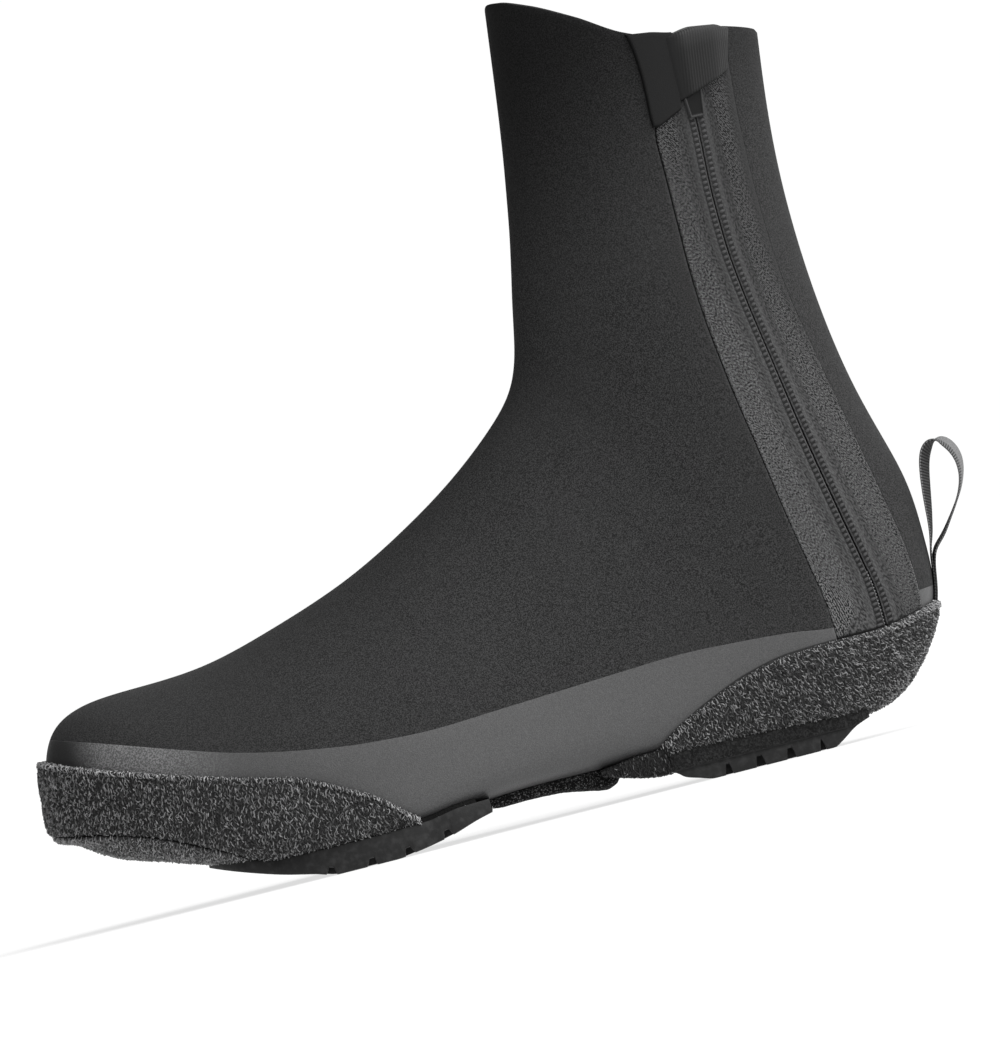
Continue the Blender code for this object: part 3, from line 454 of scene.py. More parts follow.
def opening_edge(t, opening):
    """p of the edge of an opening under the foot, which rounds off at both ends."""
    first, last = opening["first"], opening["last"]
    place = np.clip((2 * t - first - last) / (last - first), -OPENING_END, OPENING_END)
    return p_of_share(t, opening["share"] * (1 - np.abs(place) ** OPENING_SQUARENESS) ** 0.5)


def collar_t(t, p):
    """t with the top rows drawn down or up to the collar's edge."""
    rise = np.linalg.norm(surface(LAST_SECTION, 0.5) - surface(LAST_SECTION - 1, 0.5))
    share = np.clip((t - LAST_SECTION) / COLLAR_BLEND_ROWS + 1, 0, None)
    return t - share * collar_drop(np.abs(p)) / rise


def smooth(value, low, high):
    s = np.clip((value - low) / (high - low), 0, 1)
    return s * s * (3 - 2 * s)


def bell(value, middle, width):
    return np.exp(-(((value - middle) / width) ** 2))


def columns(landmarks, counts):
    """Columns from landmark to landmark for every row at once, with that many steps in each stretch."""
    parts = [landmarks[0][:, None]]
    for a, b, count in zip(landmarks, landmarks[1:], counts):
        steps = np.arange(1, count + 1) / count
        parts.append(a[:, None] + (b - a)[:, None] * steps)
    return np.hstack(parts)


def length_along(points):
    """How far each point lies along its own line of points."""
    return np.concatenate([[0.0], np.cumsum(np.linalg.norm(np.diff(points, axis=0), axis=1))])


def even_rows(line, first, last, step):
    """Values from first to last at which line(value) moves on by about step millimetres."""
    samples = 2000
    fine = np.linspace(first, last, samples)
    length = length_along(line(fine))
    return np.interp(np.linspace(0, length[-1], int(length[-1] / step) + 1), length, fine)


def roughen(points, size):
    """A crumb-like height from 0 to 1 at each point: curled ridges of about that size over slower lumps."""
    sharpness, curl, curl_scale, lump_scale, lump_height = 2.4, 0.7, 0.6, 0.37, 0.7
    ridge_share, lump_share = 0.6, 0.4
    heights = np.empty(points.shape[:-1])
    for place in np.ndindex(heights.shape):
        at = Vector(points[place]) / size
        ridge = 1 - sharpness * abs(noise.noise(at + noise.noise_vector(at * curl_scale) * curl))
        lump = 0.5 + lump_height * noise.noise(at * lump_scale)
        heights[place] = ridge_share * max(ridge, 0.0) + lump_share * lump
    return np.clip(heights, 0, 1)


def mesh_object(name, points, faces, fields=None, weld=False):
    """A smooth-shaded object from points in millimetres, with number fields for its material."""
    mesh = bpy.data.meshes.new(name)
    mesh.from_pydata((np.asarray(points).reshape(-1, 3) * MM).tolist(), [], np.asarray(faces).tolist())
    for key, values in (fields or {}).items():
        layer = mesh.attributes.new(key, "FLOAT", "POINT")
        layer.data.foreach_set("value", np.ascontiguousarray(values, dtype=np.float32).ravel())
    bm = bmesh.new()
    bm.from_mesh(mesh)
    if weld:
        bmesh.ops.remove_doubles(bm, verts=bm.verts, dist=WELD_GAP * MM)
    bmesh.ops.recalc_face_normals(bm, faces=bm.faces)
    bm.to_mesh(mesh)
    bm.free()
    mesh.shade_smooth()
    obj = bpy.data.objects.new(name, mesh)
    bpy.context.scene.collection.objects.link(obj)
    return obj


def grid_faces(rows, cols, keep=None):
    index = np.arange(rows * cols).reshape(rows, cols)
    faces = np.stack([index[:-1, :-1], index[:-1, 1:], index[1:, 1:], index[1:, :-1]], axis=-1)
    return (faces if keep is None else faces[keep]).reshape(-1, 4)


def grid_object(name, points, keep=None, fields=None, weld=False):
    return mesh_object(name, points, grid_faces(*points.shape[:2], keep), fields, weld)


def thicken(obj, thickness):
    solid = obj.modifiers.new("thickness", "SOLIDIFY")
    solid.thickness = thickness * MM
    solid.offset = -1.0


def sharpen(obj):
    obj.data.set_sharp_from_angle(angle=math.radians(SHARP_ANGLE))


def rgba(color):
    """An opaque colour from three numbers, or from one grey, which gets a trace of blue."""
    red, green, blue = color if isinstance(color, tuple) else (color, color, color * 1.01)
    return red, green, blue, 1.0


class Nodes:
    """Adds nodes to a node tree one at a time. Each method gives the output of the node that it adds."""

    def __init__(self, tree):
        self.tree = tree

    def put(self, socket, value):
        if isinstance(value, bpy.types.NodeSocket):
            self.tree.links.new(value, socket)
        else:
            socket.default_value = rgba(value) if socket.type == "RGBA" else value

    def node(self, kind, output, inputs, **settings):
        made = self.tree.nodes.new("ShaderNode" + kind)
        for key, value in settings.items():
            setattr(made, key, value)
        for key, value in inputs.items():
            self.put(made.inputs[key], value)
        return made.outputs[output]

    def field(self, name):
        return self.node("Attribute", "Fac", {}, attribute_name=name)

    def place(self):
        return self.node("TexCoord", "Object", {})

    def along_x(self, place):
        return self.node("SeparateXYZ", "X", {0: place})

    def join(self, x, y):
        return self.node("CombineXYZ", 0, {0: x, 1: y})

    def math(self, operation, a, b=0.0):
        return self.node("Math", 0, {0: a, 1: b}, operation=operation)

    def times(self, a, b):
        return self.math("MULTIPLY", a, b)

    def wave(self, value, pitch):
        return self.math("SINE", self.times(value, 2 * math.pi / pitch))

    def noise(self, scale, detail=2.0, at=None, distortion=0.0):
        """Noise with scale features to the unit of its coordinates, which are metres unless at is given."""
        inputs = {"Vector": at or self.place(), "Scale": scale, "Detail": detail, "Distortion": distortion}
        return self.node("TexNoise", 0, inputs)

    def cells(self, scale):
        """The distance to the nearest of many points, with scale of them to the metre."""
        return self.node("TexVoronoi", "Distance", {"Vector": self.place(), "Scale": scale})

    def ramp(self, value, low, high, to_low=0.0, to_high=1.0):
        inputs = dict(enumerate((value, low, high, to_low, to_high)))
        return self.node("MapRange", 0, inputs, interpolation_type="SMOOTHSTEP")

    def blend(self, share, a, b):
        return self.node("Mix", 2, {0: share, 6: a, 7: b}, data_type="RGBA")

    def tones(self, value, low, high, at_low, at_high):
        """One colour where value is at low, turning to another where it is at high."""
        return self.blend(self.ramp(value, low, high), at_low, at_high)

    def cover(self, under, value, low, high, over, share=1.0):
        """The colour under, with up to share of the colour over where value has passed from low to high."""
        return self.blend(self.ramp(value, low, high, 0.0, share), under, over)

    def bump(self, height, depth, over=None):
        """A bump of that depth in millimetres, over another bump if one is given."""
        inputs = {"Strength": 1.0, "Distance": depth * MM, "Height": height}
        return self.node("Bump", "Normal", inputs if over is None else {**inputs, "Normal": over})


class Paint(Nodes):
    """A material of one colour, whose sockets can then be set to what its nodes give."""

    def __init__(self, name, color, roughness, specular):
        self.material = bpy.data.materials.new(name)
        self.material.use_nodes = True
        super().__init__(self.material.node_tree)
        self.set("Base Color", color)
        self.set("Roughness", roughness)
        self.set("Specular IOR Level", specular)

    def set(self, name, value):
        self.put(self.tree.nodes["Principled BSDF"].inputs[name], value)


def neoprene_paint():
    """Fine dark jersey over foam, with a grey reflective film on its lower band, and painted light: shade
    towards the collar and at the toe's tip, a highlight on the band at the toe and a shadow line above the
    heel guard.
    """
    matt, glossy = {"rough": 0.85, "shine": 0.12}, {"rough": 0.45, "shine": 0.4}
    paint = Paint("neoprene_jersey", 0.020, matt["rough"], matt["shine"])
    grain = paint.noise(2700.0, 1.0)
    jersey = paint.tones(grain, 0.36, 0.66, 0.012, 0.044)
    jersey = paint.cover(jersey, paint.noise(20.0, 3.0), 0.38, 0.66, 0.034, 0.22)
    jersey = paint.cover(jersey, paint.cells(750.0), 0.13, 0.03, 0.10, 0.7)
    # Painted shade: the jersey darker towards the collar's front
    jersey = paint.blend(paint.field("collar_painted_shade"), jersey, 0.001)
    film = paint.tones(paint.noise(3000.0, 1.0), 0.33, 0.68, 0.049, 0.078)
    # Painted highlight: paler, grainier film on the band over the toe
    painted_highlight_film = paint.tones(paint.noise(2000.0, 1.0), 0.38, 0.66, 0.080, 0.210)
    film = paint.blend(paint.field("toe_painted_highlight"), film, painted_highlight_film)
    # Painted shade: the band's film dark at the toe's tip
    film = paint.blend(paint.field("toe_tip_painted_shade"), film, 0.022)
    in_band = paint.ramp(paint.field("above_band"), 0.10, -0.10)
    cloth = paint.blend(in_band, jersey, film)
    # Painted shadow: a thin dark line on the upper just above the heel guard's top edge
    paint.set("Base Color", paint.cover(cloth, paint.field("above_guard"), 0.9, 0.3, 0.008))
    paint.set("Roughness", paint.ramp(in_band, 0.0, 1.0, matt["rough"], glossy["rough"]))
    paint.set("Specular IOR Level", paint.ramp(in_band, 0.0, 1.0, matt["shine"], glossy["shine"]))
    paint.set("Normal", paint.bump(grain, 0.08, paint.bump(in_band, 0.12)))
    return paint.material


def film_lumps(paint):
    return paint.noise(1300.0, 3.0, distortion=0.8)


def crumb_paint(name, dark, light):
    """The rubber film between the crumbs, painted black down in the seam between two sheets, as shade in its
    groove.
    """
    paint = Paint(name, dark, 0.8, 0.2)
    lumps = film_lumps(paint)
    film = paint.tones(lumps, 0.38, 0.70, dark, light)
    # Painted shade: black down in the groove of the seam
    paint.set("Base Color", paint.cover(film, paint.field("from_seam"), 0.45, 0.25, 0.002))
    paint.set("Normal", paint.bump(lumps, FILM_RELIEF))
    return paint.material


def curl_paint():
    """The crumbs: curled threads of rubber, each in its own grey."""
    paint = Paint("guard_crumb_curls", 0.10, 0.6, 0.35)
    paint.set("Base Color", paint.blend(paint.field("tone"), 0.016, 0.400))
    return paint.material


def tread_paint():
    """Black rubber, with the faint crumbs of the guard's film on the heel pad's upper step."""
    paint = Paint("tread_rubber_black", 0.010, 0.6, 0.14)
    scuff, lumps, crumbs = paint.noise(420.0, 4.0), film_lumps(paint), paint.field("crumbs")
    smooth_rubber = paint.tones(scuff, 0.4, 0.75, 0.017, 0.034)
    rough_rubber = paint.tones(lumps, 0.38, 0.70, 0.004, 0.025)
    paint.set("Roughness", paint.ramp(scuff, 0.3, 0.7, 0.48, 0.72))
    paint.set("Base Color", paint.blend(crumbs, smooth_rubber, rough_rubber))
    rough = paint.bump(paint.times(lumps, crumbs), FILM_RELIEF)
    paint.set("Normal", paint.bump(paint.noise(1500.0, 3.0), 0.08, rough))
    return paint.material


def pile_paint():
    """Black hook-and-loop pile: dark, with single paler loops."""
    paint = Paint("strap_pile", 0.008, 0.95, 0.1)
    loops = paint.noise(2300.0, 2.0, distortion=0.8)
    paint.set("Base Color", paint.tones(loops, 0.53, 0.68, 0.004, 0.130))
    paint.set("Normal", paint.bump(loops, 0.4))
    return paint.material


def tape_paint():
    """Woven zip tape: salt-and-pepper twill, finer lanes beside the coil, painted shade in dark beds under
    the stitches, and painted shadow along its front edge and above the heel guard.
    """
    paint = Paint("zip_tape_twill", 0.05, 0.85, 0.15)
    along, across = paint.field("along"), paint.field("across")
    away = paint.math("ABSOLUTE", across)
    lower = paint.ramp(along, 190.0, 70.0)

    def tone(at_top, at_foot):
        return paint.blend(lower, at_top, at_foot)

    twill = paint.wave(paint.math("ADD", along, paint.times(across, 1.1)), 1.05)
    salt = paint.noise(1.7, 1.0, at=paint.join(paint.field("from_slit"), along))
    weave = paint.math("ADD", salt, paint.times(twill, 0.08))
    tape = paint.tones(weave, 0.46, 0.54, 0.004, tone(0.080, 0.124))
    lines = paint.noise(1.0, 2.0, at=paint.join(paint.times(across, 1.9), paint.times(along, 1.1)))
    lane = paint.tones(lines, 0.36, 0.64, 0.016, tone(0.054, 0.086))
    tape = paint.cover(tape, away, 7.8, 6.6, lane)
    ridge = paint.tones(lines, 0.34, 0.66, 0.036, tone(0.054, 0.080))
    tape = paint.cover(tape, away, 5.0, 3.9, ridge)
    # Painted shade: dark beds under the stitch rows beside the slit
    bed = paint.times(paint.ramp(away, 2.75, 2.45), paint.ramp(away, 0.6, 0.8))
    tape = paint.blend(bed, tape, tone(0.018, 0.013))
    # Painted shadow: black along the tape's front edge, at the step down from the upper
    tape = paint.cover(tape, paint.field("front_seam"), 0.6, 0.25, 0.002)
    tape = paint.cover(tape, across, 3.0, 5.0, 0.012, 0.28)
    rear_shade = paint.ramp(paint.field("rear_edge"), 5.5, 0.5, 0.0, 0.85)
    tape = paint.blend(paint.times(rear_shade, paint.ramp(along, 90.0, 170.0)), tape, 0.030)
    # Painted shadow: a thin dark line on the tape just above the heel guard's top edge
    paint.set("Base Color", paint.cover(tape, paint.field("above_guard"), 1.5, 0.6, 0.005))
    paint.set("Normal", paint.bump(weave, 0.16))
    return paint.material


def plain_paint(name, color, roughness, specular, grain_scale, grain_depth):
    """One colour with a fine grain."""
    paint = Paint(name, color, roughness, specular)
    paint.set("Normal", paint.bump(paint.noise(grain_scale), grain_depth))
    return paint.material


def rib_paint():
    """Elastic with fine ribs, glossier than the tab, with a painted sheen at its top and towards its rear,
    and black at its lower edge as painted shadow.
    """
    paint = Paint("garage_elastic", 0.016, 0.55, 0.2)
    rib = paint.wave(paint.field("across"), 0.8)
    down, back = paint.field("down"), paint.field("back")
    fade = paint.ramp(back, 0.08, 0.35)
    tone = paint.tones(rib, -0.9, 0.9, 0.0075, 0.0150)
    # Painted sheen: paler towards the fold's rear
    tone = paint.cover(tone, back, 0.45, 0.85, 0.024, 0.3)
    # Painted sheen: paler along the fold's top
    tone = paint.cover(tone, down, 0.36, 0.08, 0.036, 0.5)
    tone = paint.blend(fade, 0.010, tone)
    # Painted shadow: black along the fold's lower edge
    paint.set("Base Color", paint.cover(tone, down, 0.93, 0.99, 0.002))
    paint.set("Normal", paint.bump(paint.times(rib, fade), 0.05))
    return paint.material


def webbing_paint():
    """Woven tape: dark slanting ribs inside the loop, plain and pale outside it, with one dashed border, and
    painted shade on its tail where it is sewn down against the heel.
    """
    paint = Paint("loop_webbing", 0.14, 0.75, 0.2)
    along, across, inside = paint.field("along"), paint.field("across"), paint.field("inside")
    rib = paint.wave(paint.math("SUBTRACT", along, paint.times(across, 0.10)), 0.95)
    yarn = paint.noise(2.6, 2.0, at=paint.join(along, across))
    ribs = paint.math("ADD", paint.times(rib, 0.45), yarn)
    ribbed = paint.tones(ribs, 0.30, 0.75, 0.004, 0.062)
    ribbed = paint.cover(ribbed, across, 4.3, 4.8, paint.tones(rib, -0.4, 0.6, 0.040, 0.170))
    plain = paint.tones(yarn, 0.35, 0.65, 0.130, 0.170)
    plain = paint.cover(plain, across, 1.4, 2.2, paint.tones(rib, -0.3, 0.5, 0.120, 0.030))
    tone = paint.cover(plain, inside, 0.35, 0.65, ribbed)
    # Painted shade: the tail, sewn down against the heel, dark on both faces
    tail = paint.tones(ribs, 0.15, 0.90, 0.012, 0.050)
    paint.set("Base Color", paint.cover(tone, inside, 1.2, 1.8, tail))
    paint.set("Normal", paint.bump(ribs, 0.08))
    return paint.material


def cloth_paint():
    """The smooth stretch cloth of the garage's tab, darker towards its edge with painted shadow."""
    paint = Paint("garage_cloth", 0.010, 0.75, 0.12)
    # Painted shadow: darker within about a millimetre of the tab's edge
    paint.set("Base Color", paint.tones(paint.field("from_edge"), 0.2, 1.2, 0.006, 0.0125))
    paint.set("Normal", paint.bump(paint.noise(2600.0), 0.06))
    return paint.material


def slider_paint():
    """Black plastic, with a painted highlight on the raised rim."""
    paint = Paint("slider_satin_black", 0.008, 0.5, 0.12)
    # Painted highlight: paler along the plate's raised rim
    paint.set("Base Color", paint.tones(paint.field("from_edge"), 0.95, 0.55, 0.007, 0.042))
    return paint.material


def dress(obj, paint, slot, *nodes):
    """Gives a piece its material, hangs it on the body and lets it stand for solids."""
    obj.data.materials.append(paint)
    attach(obj, BODY)
    if nodes:
        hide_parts(*nodes)


def scatter(points, weight, count, rng):
    """Places spread over a grid by area times weight, as a function that reads any grid of values there."""
    across, along = points[:-1, 1:] - points[:-1, :-1], points[1:, :-1] - points[:-1, :-1]
    area = np.linalg.norm(np.cross(across, along), axis=-1) * weight
    total = np.cumsum(area)
    picks = (np.arange(count) + rng.random(count)) / count * total[-1]
    i, j = np.unravel_index(np.searchsorted(total, picks), area.shape)
    u, v = rng.random((2, count))

    def read(values):
        a, b = (share.reshape((count,) + (1,) * (values.ndim - 2)) for share in (u, v))
        low = values[i, j] * (1 - b) + values[i, j + 1] * b
        high = values[i + 1, j] * (1 - b) + values[i + 1, j + 1] * b
        return low * (1 - a) + high * a

    return read


def curls(name, places, normals, ups, tone, rng):
    """Short bent threads that stand on a face, mostly along ups, as one mesh."""
    rings, sides = 4, 3
    count = len(places)
    angle = rng.normal(0.0, CURL["wander"], count)[:, None]
    ahead = ups * np.cos(angle) + np.cross(normals, ups) * np.sin(angle)
    aside = np.cross(normals, ahead)
    reach = CURL["length"] / 2 * rng.uniform(0.5, 1.5, (count, 1))
    bend = reach * rng.uniform(-0.6, 0.6, (count, 1))
    lift = CURL["rise"] * rng.uniform(0.3, 1.3, (count, 1))
    thick = CURL["radius"] * rng.uniform(0.7, 1.3, (count, 1))
    points = np.empty((count, rings, sides, 3))
    for n, step in enumerate(np.linspace(-1, 1, rings)):
        bow = 1 - step * step
        centre = places + ahead * step * reach + aside * bend * bow + normals * (lift * bow - CURL["sink"])
        along = unit(ahead * reach - 2 * step * (aside * bend + normals * lift))
        side = unit(np.cross(normals, along))
        over = np.cross(along, side)
        girth = thick * (CURL["tip"] + (1 - CURL["tip"]) * bow)
        for k in range(sides):
            turned = math.pi / 2 + 2 * math.pi * k / sides
            points[:, n, k] = centre + (side * math.cos(turned) + over * math.sin(turned)) * girth
    ring, corner = np.meshgrid(np.arange(rings - 1) * sides, np.arange(sides), indexing="ij")
    beside = (corner + 1) % sides
    quads = np.stack([ring + corner, ring + beside, ring + sides + beside, ring + sides + corner], -1)
    faces = quads.reshape(1, -1, 4) + (np.arange(count) * rings * sides)[:, None, None]
    return mesh_object(name, points, faces.reshape(-1, 4), {"tone": np.repeat(tone, rings * sides)})


def curl_cover(node, points, normals, weight, pale, paint):
    """Curled crumbs over a face, closer together where weight is high and paler where pale is."""
    count, seed = CURL_COVERS[node]
    rng = np.random.default_rng(seed)
    read = scatter(points, weight, count, rng)
    ups, out = unit(read(np.gradient(points, axis=1))), unit(read(normals))
    tone = np.clip(rng.random(count) ** CURL["dark_bias"] * CURL["brightest"] + read(pale), 0, 1)
    dress(curls(node + "_curls", read(points), out, ups, tone, rng), paint, "guard_rubber")


def build_upper(paint):
    """The neoprene wall: open at the collar, under the foot and along the zip."""
    stations = (0.05, UPPER_OPENING["first"], ZIP_FOOT, LAST_SECTION)
    stretches = zip(stations, stations[1:], UPPER_ROWS)
    rows = np.concatenate([np.linspace(a, b, n)[:-1] for a, b, n in stretches] + [stations[-1:]])
    outer_side, zip_gap, behind_zip = UPPER_COLUMNS[2:5]
    edge = opening_edge(rows, UPPER_OPENING)
    steps = outer_side + zip_gap + behind_zip
    blend = smooth(rows, ZIP_BLEND_FROM, ZIP_FOOT)
    at_foot = np.maximum(rows, ZIP_FOOT)
    rear_zip = zip_p(at_foot, "rear_edge")
    front = edge * outer_side / steps * (1 - blend) + zip_p(at_foot, "front_edge") * blend
    rear = edge * (outer_side + zip_gap) / steps * (1 - blend) + rear_zip * blend
    back = edge * (1 - blend) + (1 + rear_zip) / 2 * blend
    one = np.ones(len(rows))
    p = columns([-one, -edge, 0 * one, front, rear, back, one], UPPER_COLUMNS)
    points = form(collar_t(rows[:, None], p), p, 0.0)
    middle = ((rows[:-1] + rows[1:]) / 2)[:, None]
    stretch = np.repeat(np.arange(len(UPPER_COLUMNS)), UPPER_COLUMNS)[None]
    under = (stretch == 0) | (stretch == len(UPPER_COLUMNS) - 1)
    sole_open = under & (middle > UPPER_OPENING["first"]) & (middle < UPPER_OPENING["last"])
    zip_open = (stretch == UPPER_COLUMNS.index(zip_gap)) & (middle > ZIP_FOOT)
    x, z = points[..., 0], points[..., 2]
    over_heel = z - edge_curve(HEEL_GUARD_TOP)(x)
    # Painted shade on the jersey, deepening up and forward towards the collar
    shade = smooth(z + COLLAR_SHADE["slant"] * x, COLLAR_SHADE["from"], COLLAR_SHADE["to"])
    fields = {
        # Height above the heel guard's top, for the painted shadow line there
        "above_guard": np.where(x < HEEL_GUARD_TOP[-1][0], over_heel, FAR),
        "above_band": z - edge_curve(BAND_TOP)(x),
        # Painted shade on the band at the toe's tip
        "toe_tip_painted_shade": smooth(x, *TOE_TIP_PAINTED_SHADE),
        # Painted highlight on the band at the toe
        "toe_painted_highlight": smooth(x, *TOE_PAINTED_HIGHLIGHT),
        "collar_painted_shade": COLLAR_SHADE["most"] * shade,
    }
    skin = grid_object("upper_skin", points, ~(sole_open | zip_open), fields, weld=True)
    thicken(skin, WALL)
    dress(skin, paint, "neoprene", "upper")


def rounded_edge(distance, radius):
    """From 0 at an edge to 1 at radius from it, as a quarter circle."""
    near = 1 - np.clip(distance / radius, 0, 1)
    return np.sqrt(1 - near * near)


def mirrored(half):
    """p over both sides of the shoe from columns of p on the outer side."""
    return np.hstack([half, -half[:, ::-1]])


def between_sides(p):
    """Cells of a mirrored grid, without the one that would bridge the two sides."""
    keep = np.ones((p.shape[0] - 1, p.shape[1] - 1), bool)
    keep[:, p.shape[1] // 2 - 1] = False
    return keep


def add_guard(node, t, p, outer, from_top, from_seam, weight, pale, film, curl):
    """A guard: film with a rolled top edge, rounded at its seam and roughened by crumbs, and its curls."""
    relief, crumb_size = GUARD_FILMS[node]
    rolled = RIM["height"] * (bell(from_top, *RIM["lip"]) - bell(from_top, *RIM["groove"]))
    edge = np.minimum(rounded_edge(from_top, RIM["radius"]), rounded_edge(from_seam, RIM["seam_radius"]))
    plain = form(t, p, GUARD_SEAT / 2 + (outer - RIM["under_crumbs"] - GUARD_SEAT / 2) * edge)
    crumbs = roughen(plain, crumb_size) * relief * edge
    points = plain + outward(t, p) * (rolled + crumbs)[..., None]
    cells = between_sides(p)
    sheet = grid_object(node + "_film", points, cells, {"from_seam": from_seam}, weld=True)
    dress(sheet, film, "guard_rubber", node)
    curl_cover(node, points, outward(t, p), cells * weight[:-1, :-1], pale, curl)


def rim_tone(from_top):
    """How much paler the crumbs are along a guard's rolled top edge."""
    return RIM["paler"] * (1 - smooth(from_top, *RIM["paler_to"]))


def clear_of_seam(from_seam):
    return smooth(from_seam, 0.2, 0.45)


def build_toe_guard(film, curl):
    top, seam = edge_curve(TOE_GUARD_TOP), edge_curve(TOE_SEAM)
    end = float(t_under(TOE_GUARD_TOP[0][0] + 1.0))
    first_t, middle_p, near_seam, seam_columns, other_columns = 0.02, 0.62, 0.05, 5, 50
    full_at_seam = 0.5, 12.0
    t = even_rows(lambda t: form(t, middle_p, TOE_GUARD_OUTER), first_t, end, FILM_STEP)
    low, high = (p_at_height(t, edge, TOE_GUARD_OUTER)[:, None] for edge in (seam, top))
    at_seam = np.linspace(0, near_seam, seam_columns + 1)[:-1]
    spread = np.concatenate([at_seam, np.linspace(near_seam, 1, other_columns)])
    p = mirrored(low + (high - low) * spread)
    t = t[:, None]
    x, _, z = np.moveaxis(form(t, p, TOE_GUARD_OUTER), -1, 0)
    from_top, from_seam = np.maximum(top(x) - z, 0), np.maximum(z - seam(x), 0)
    fuller = TOE_FULLNESS * smooth(x, *TOE_CORNER) * (1 - smooth(from_seam, *full_at_seam))
    outer = TOE_GUARD_OUTER + fuller
    weight = clear_of_seam(from_seam)
    add_guard("toe_guard", t, p, outer, from_top, from_seam, weight, rim_tone(from_top), film, curl)


def build_toe_panel(film, curl):
    seam = edge_curve(TOE_SEAM)
    rear = float(t_under(TOE_PANEL["rear"]))
    first_t, columns_under, crowding, seam_reach, sole_share = 0.3, 48, 1.3, 6.0, 0.6
    chamfered, tread_to_toe = (0.5, 6.0), (150.0, 190.0)
    t = even_rows(lambda t: form(t, 1.0, TOE_GUARD_OUTER), first_t, rear, FILM_STEP)
    edge = p_at_height(t, seam, TOE_GUARD_OUTER)
    shown = edge < TOE_PANEL["last_p"]
    t, edge = t[shown, None], edge[shown, None]
    p = mirrored(edge + (1 - edge) * np.linspace(0, 1, columns_under) ** crowding)
    x, _, z = np.moveaxis(form(t, p, TOE_GUARD_OUTER), -1, 0)
    from_seam = np.maximum(seam(x) - z, 0)
    chamfer = TOE_FULLNESS - TOE_PANEL["chamfer"] * smooth(from_seam, *chamfered)
    outer = TOE_GUARD_OUTER + smooth(x, *TOE_CORNER) * chamfer
    on_sole = sole_share * smooth(x, *tread_to_toe)
    weight = clear_of_seam(from_seam) * (np.exp(-from_seam / seam_reach) + on_sole)
    pale = np.full(p.shape, TOE_PANEL["paler"])
    add_guard("toe_panel", t, p, outer, np.full(p.shape, FAR), from_seam, weight, pale, film, curl)


def build_heel_guard(film, curl):
    top = edge_curve(HEEL_GUARD_TOP)
    start = float(t_under(HEEL_GUARD_TOP[-1][0]))
    rear_sections, rear_gap, side_p, columns_up = (12.0, 16.0), 0.002, 0.97, 60
    above_sole, least_weight = (7.0, 10.0), 0.05

    def below_edge(t):
        place = form(t, 1.0, HEEL_GUARD_OUTER)
        return top(place[..., 0]) - place[..., 2]

    end = float(solve(below_edge, *rear_sections, ()))
    t = even_rows(lambda t: form(t, side_p, 0.0), start, end - rear_gap, FILM_STEP)
    low = np.where(t < HEEL_GUARD_OPENING["last"], opening_edge(t, HEEL_GUARD_OPENING), 1.0)[:, None]
    high = p_at_height(t, top, HEEL_GUARD_OUTER)[:, None]
    p = mirrored(low + (high - low) * np.linspace(0, 1, columns_up))
    t = t[:, None]
    x, _, z = np.moveaxis(form(t, p, HEEL_GUARD_OUTER), -1, 0)
    from_top = np.maximum(top(x) - z, 0)
    no_seam = from_top + FAR
    weight = smooth(z, *above_sole) + least_weight
    outer = HEEL_GUARD_OUTER
    add_guard("heel_guard", t, p, outer, from_top, no_seam, weight, rim_tone(from_top), film, curl)


def notch_stations(notches):
    return [notches["first"] + n * notches["pitch"] for n in range(notches["count"])]


def in_notch(x, notches):
    return any(abs(x - station) < notches["width"] / 2 for station in notch_stations(notches))


def tread_rows(tread, notches):
    """x of a tread's rows from front to rear, with rows at both walls of every notch."""
    step, clear, draft = 1.0, 0.3, 0.08
    rows = list(np.arange(tread["rear"], tread["front"], step)) + [tread["front"]]
    half = notches["width"] / 2
    for x in notch_stations(notches):
        rows = [row for row in rows if abs(row - x) > half + clear]
        rows += [x - half - draft, x - half + draft, x, x + half - draft, x + half + draft]
    return np.array(sorted(rows))[::-1]


def wrap_under(t, rim, offset, profile):
    """A pad's side walls and lower face from rim to rim. profile(x, top) gives its insets and heights."""
    floor_columns = 14
    rows = []
    for (x, y, z), middle in zip(form(t, rim, offset), section(t, "shift")):
        outer = [(y - middle - inset, height) for inset, height in zip(*profile(x, z))]
        edge, low = outer[-1]
        floor = [(side, low) for side in np.linspace(edge, -edge, floor_columns)[1:-1]]
        line = outer + floor + [(-side, height) for side, height in reversed(outer)]
        rows.append([(x, middle + side, height) for side, height in line])
    points = np.array(rows)
    ends = [points[:1].copy(), points[-1:].copy()]
    for end in ends:
        end[..., 2] = end[..., 2].max()
    return np.concatenate([ends[0], points, ends[1]])


def build_forefoot_tread(paint):
    seam, lower = edge_curve(TOE_SEAM), edge_curve(FOREFOOT_BOTTOM)
    offset = TOE_GUARD_OUTER + SEAT_GAP
    t = t_under(tread_rows(FOREFOOT_TREAD, FOREFOOT_NOTCHES))
    front, square = (float(t_under(FOREFOOT_TREAD[end])) for end in ("front", "square_to"))
    edge = p_at_height(t, seam, offset)
    nose = np.clip((square - t) / (square - front), 0, 1) * FOREFOOT_TREAD["nose_taper"]
    rim = np.where(t >= square, edge, p_of_share(t, share_of_p(t, edge) * (1 - nose**2) ** 0.5))
    thinnest, proud, corner_radius = 0.3, 0.25, 0.9
    reach = FOREFOOT_NOTCHES["reach"]

    def profile(x, top):
        low = min(float(lower(x)), top - thinnest)
        cut = min(low + in_notch(x, FOREFOOT_NOTCHES) * FOREFOOT_NOTCHES["depth"], top - thinnest)
        r = min(corner_radius, (top - cut) / 2)
        corner = r * (1 - math.sqrt(0.5))
        insets = (0.0, -proud, -proud, corner - proud, r, reach - NOTCH_DRAFT, reach + NOTCH_DRAFT)
        return insets, (top + 0.4, top - 0.2, cut + r, cut + corner, cut, cut, low)

    points = wrap_under(t, rim, offset, profile)
    tread = grid_object("forefoot_tread_rubber", points, fields={"crumbs": 0 * points[..., 0]})
    sharpen(tread)
    dress(tread, paint, "tread_rubber", "forefoot_tread")


